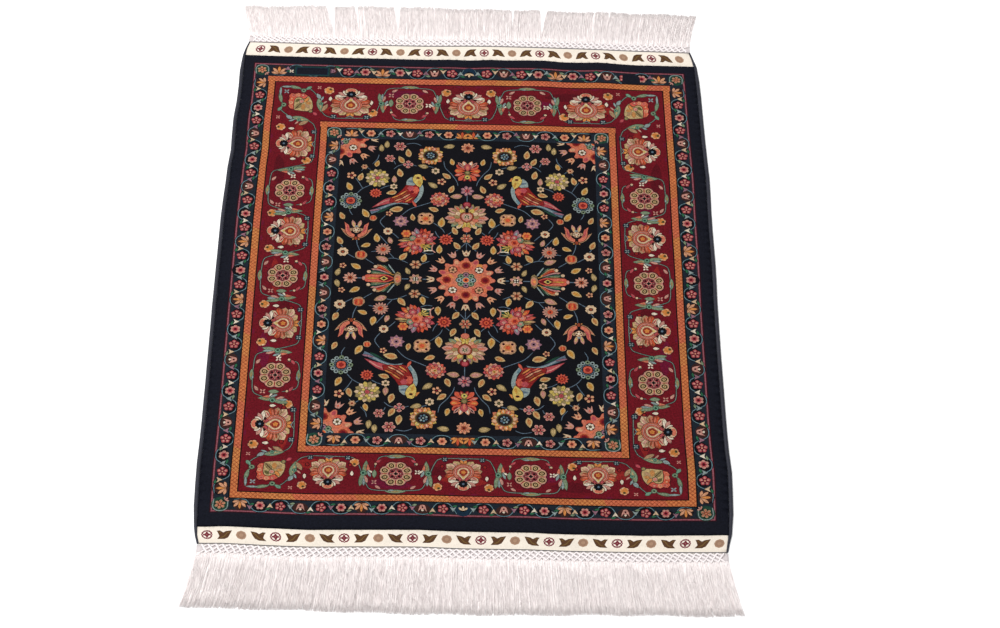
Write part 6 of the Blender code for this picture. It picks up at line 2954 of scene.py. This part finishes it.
@dataclass
class Studio:
    """The floor, the light and the camera."""

    camera_place: tuple[float, float, float] = (-0.027, -1.8105, 2.139)
    depression: float = 50.66
    heading: float = 2.24
    roll: float = 2.98
    lens: float = 80.4
    floor_size: float = 12.0
    floor_drop: float = 0.0001
    sensor_width: float = 36.0
    sky_strength: float = 0.84
    lamp_power: float = 66.0
    lamp_size: tuple[float, float] = (2.4, 1.6)
    lamp_place: tuple[float, float, float] = (-1.0, 0.4, 2.4)

    def floor(self) -> None:
        """Lay the floor just under the rug."""
        half = self.floor_size / 2
        corners = np.array([(-half, -half), (half, -half), (half, half), (-half, half)])
        places = np.column_stack([corners, np.full(4, -self.floor_drop)])
        made = build_mesh("floor", places, [(0, 1, 2, 3)], PaleFloor().make(), False)

    def light(self) -> None:
        """Light the studio softly from all round, with a broad lamp overhead."""
        world = bpy.data.worlds.new("studio")
        world.use_nodes = True
        sky = world.node_tree.nodes["Background"].inputs
        sky["Color"].default_value = (1, 1, 1, 1)
        sky["Strength"].default_value = self.sky_strength
        bpy.context.scene.world = world
        lamp = bpy.data.lights.new("soft_box", "AREA")
        lamp.shape = "RECTANGLE"
        lamp.size, lamp.size_y = self.lamp_size
        lamp.energy = self.lamp_power
        holder = bpy.data.objects.new("soft_box", lamp)
        holder.location = self.lamp_place
        towards = Vector((0, 0, 0)) - Vector(holder.location)
        holder.rotation_euler = towards.to_track_quat("-Z", "Y").to_euler()
        bpy.context.collection.objects.link(holder)

    def camera(self) -> None:
        """Place the camera."""
        down, head = math.radians(self.depression), math.radians(self.heading)
        roll = math.radians(self.roll)
        forward = Vector(
            (math.sin(head) * math.cos(down), math.cos(head) * math.cos(down), -math.sin(down))
        )
        right = forward.cross(Vector((0, 0, 1))).normalized()
        up = right.cross(forward)
        right_rolled = right * math.cos(roll) + up * math.sin(roll)
        up_rolled = up * math.cos(roll) - right * math.sin(roll)
        lens = bpy.data.cameras.new("camera")
        lens.lens = self.lens
        lens.sensor_width = self.sensor_width
        made = bpy.data.objects.new("camera", lens)
        turned = Matrix((right_rolled, up_rolled, -forward)).transposed().to_4x4()
        made.matrix_world = Matrix.Translation(self.camera_place) @ turned
        bpy.context.collection.objects.link(made)
        bpy.context.scene.camera = made


def write_sizes() -> None:
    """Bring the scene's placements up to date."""
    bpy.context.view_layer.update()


def main() -> None:
    """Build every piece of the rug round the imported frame."""
    logging.basicConfig(level=logging.INFO, format="%(message)s", stream=sys.stdout)
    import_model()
    bpy.context.scene.view_settings.view_transform = "Standard"
    studio = Studio()
    studio.floor()
    studio.light()
    studio.camera()
    PilePanel().build(shift=3.5)
    # Where the far fringe has fallen apart, and half the width of each gap
    partings = ((-194, 6), (-159.5, 2), (-104, 5), (59, 2.5), (101, 6), (173, 2), (191.5, 2.5))
    far = Fringe("fringe_top", 1, 11, wave=0.5, lean=1.3, ragged=2.2, partings=partings)
    near = Fringe("fringe_bottom", -1, 12, wave=1.1, longer=(6.0, 2.0))
    fringe_top, fringe_bottom = far.build(), near.build()
    KilimEnd("kilim_top", 1, -288.0, 38.5, 12.4).build(fringe_top)
    KilimEnd("kilim_bottom", -1, -295.0, 39.45, 11.4).build(fringe_bottom)
    for node in ("selvedge_left", "selvedge_right"):
        Selvedge(node).build()
    for made in bpy.data.objects:
        if made.type == "MESH" and not made.hide_render:
            LOG.info("%s: %d faces", made.name, len(made.data.polygons))
    write_sizes()


if __name__ == "__main__":
    main()
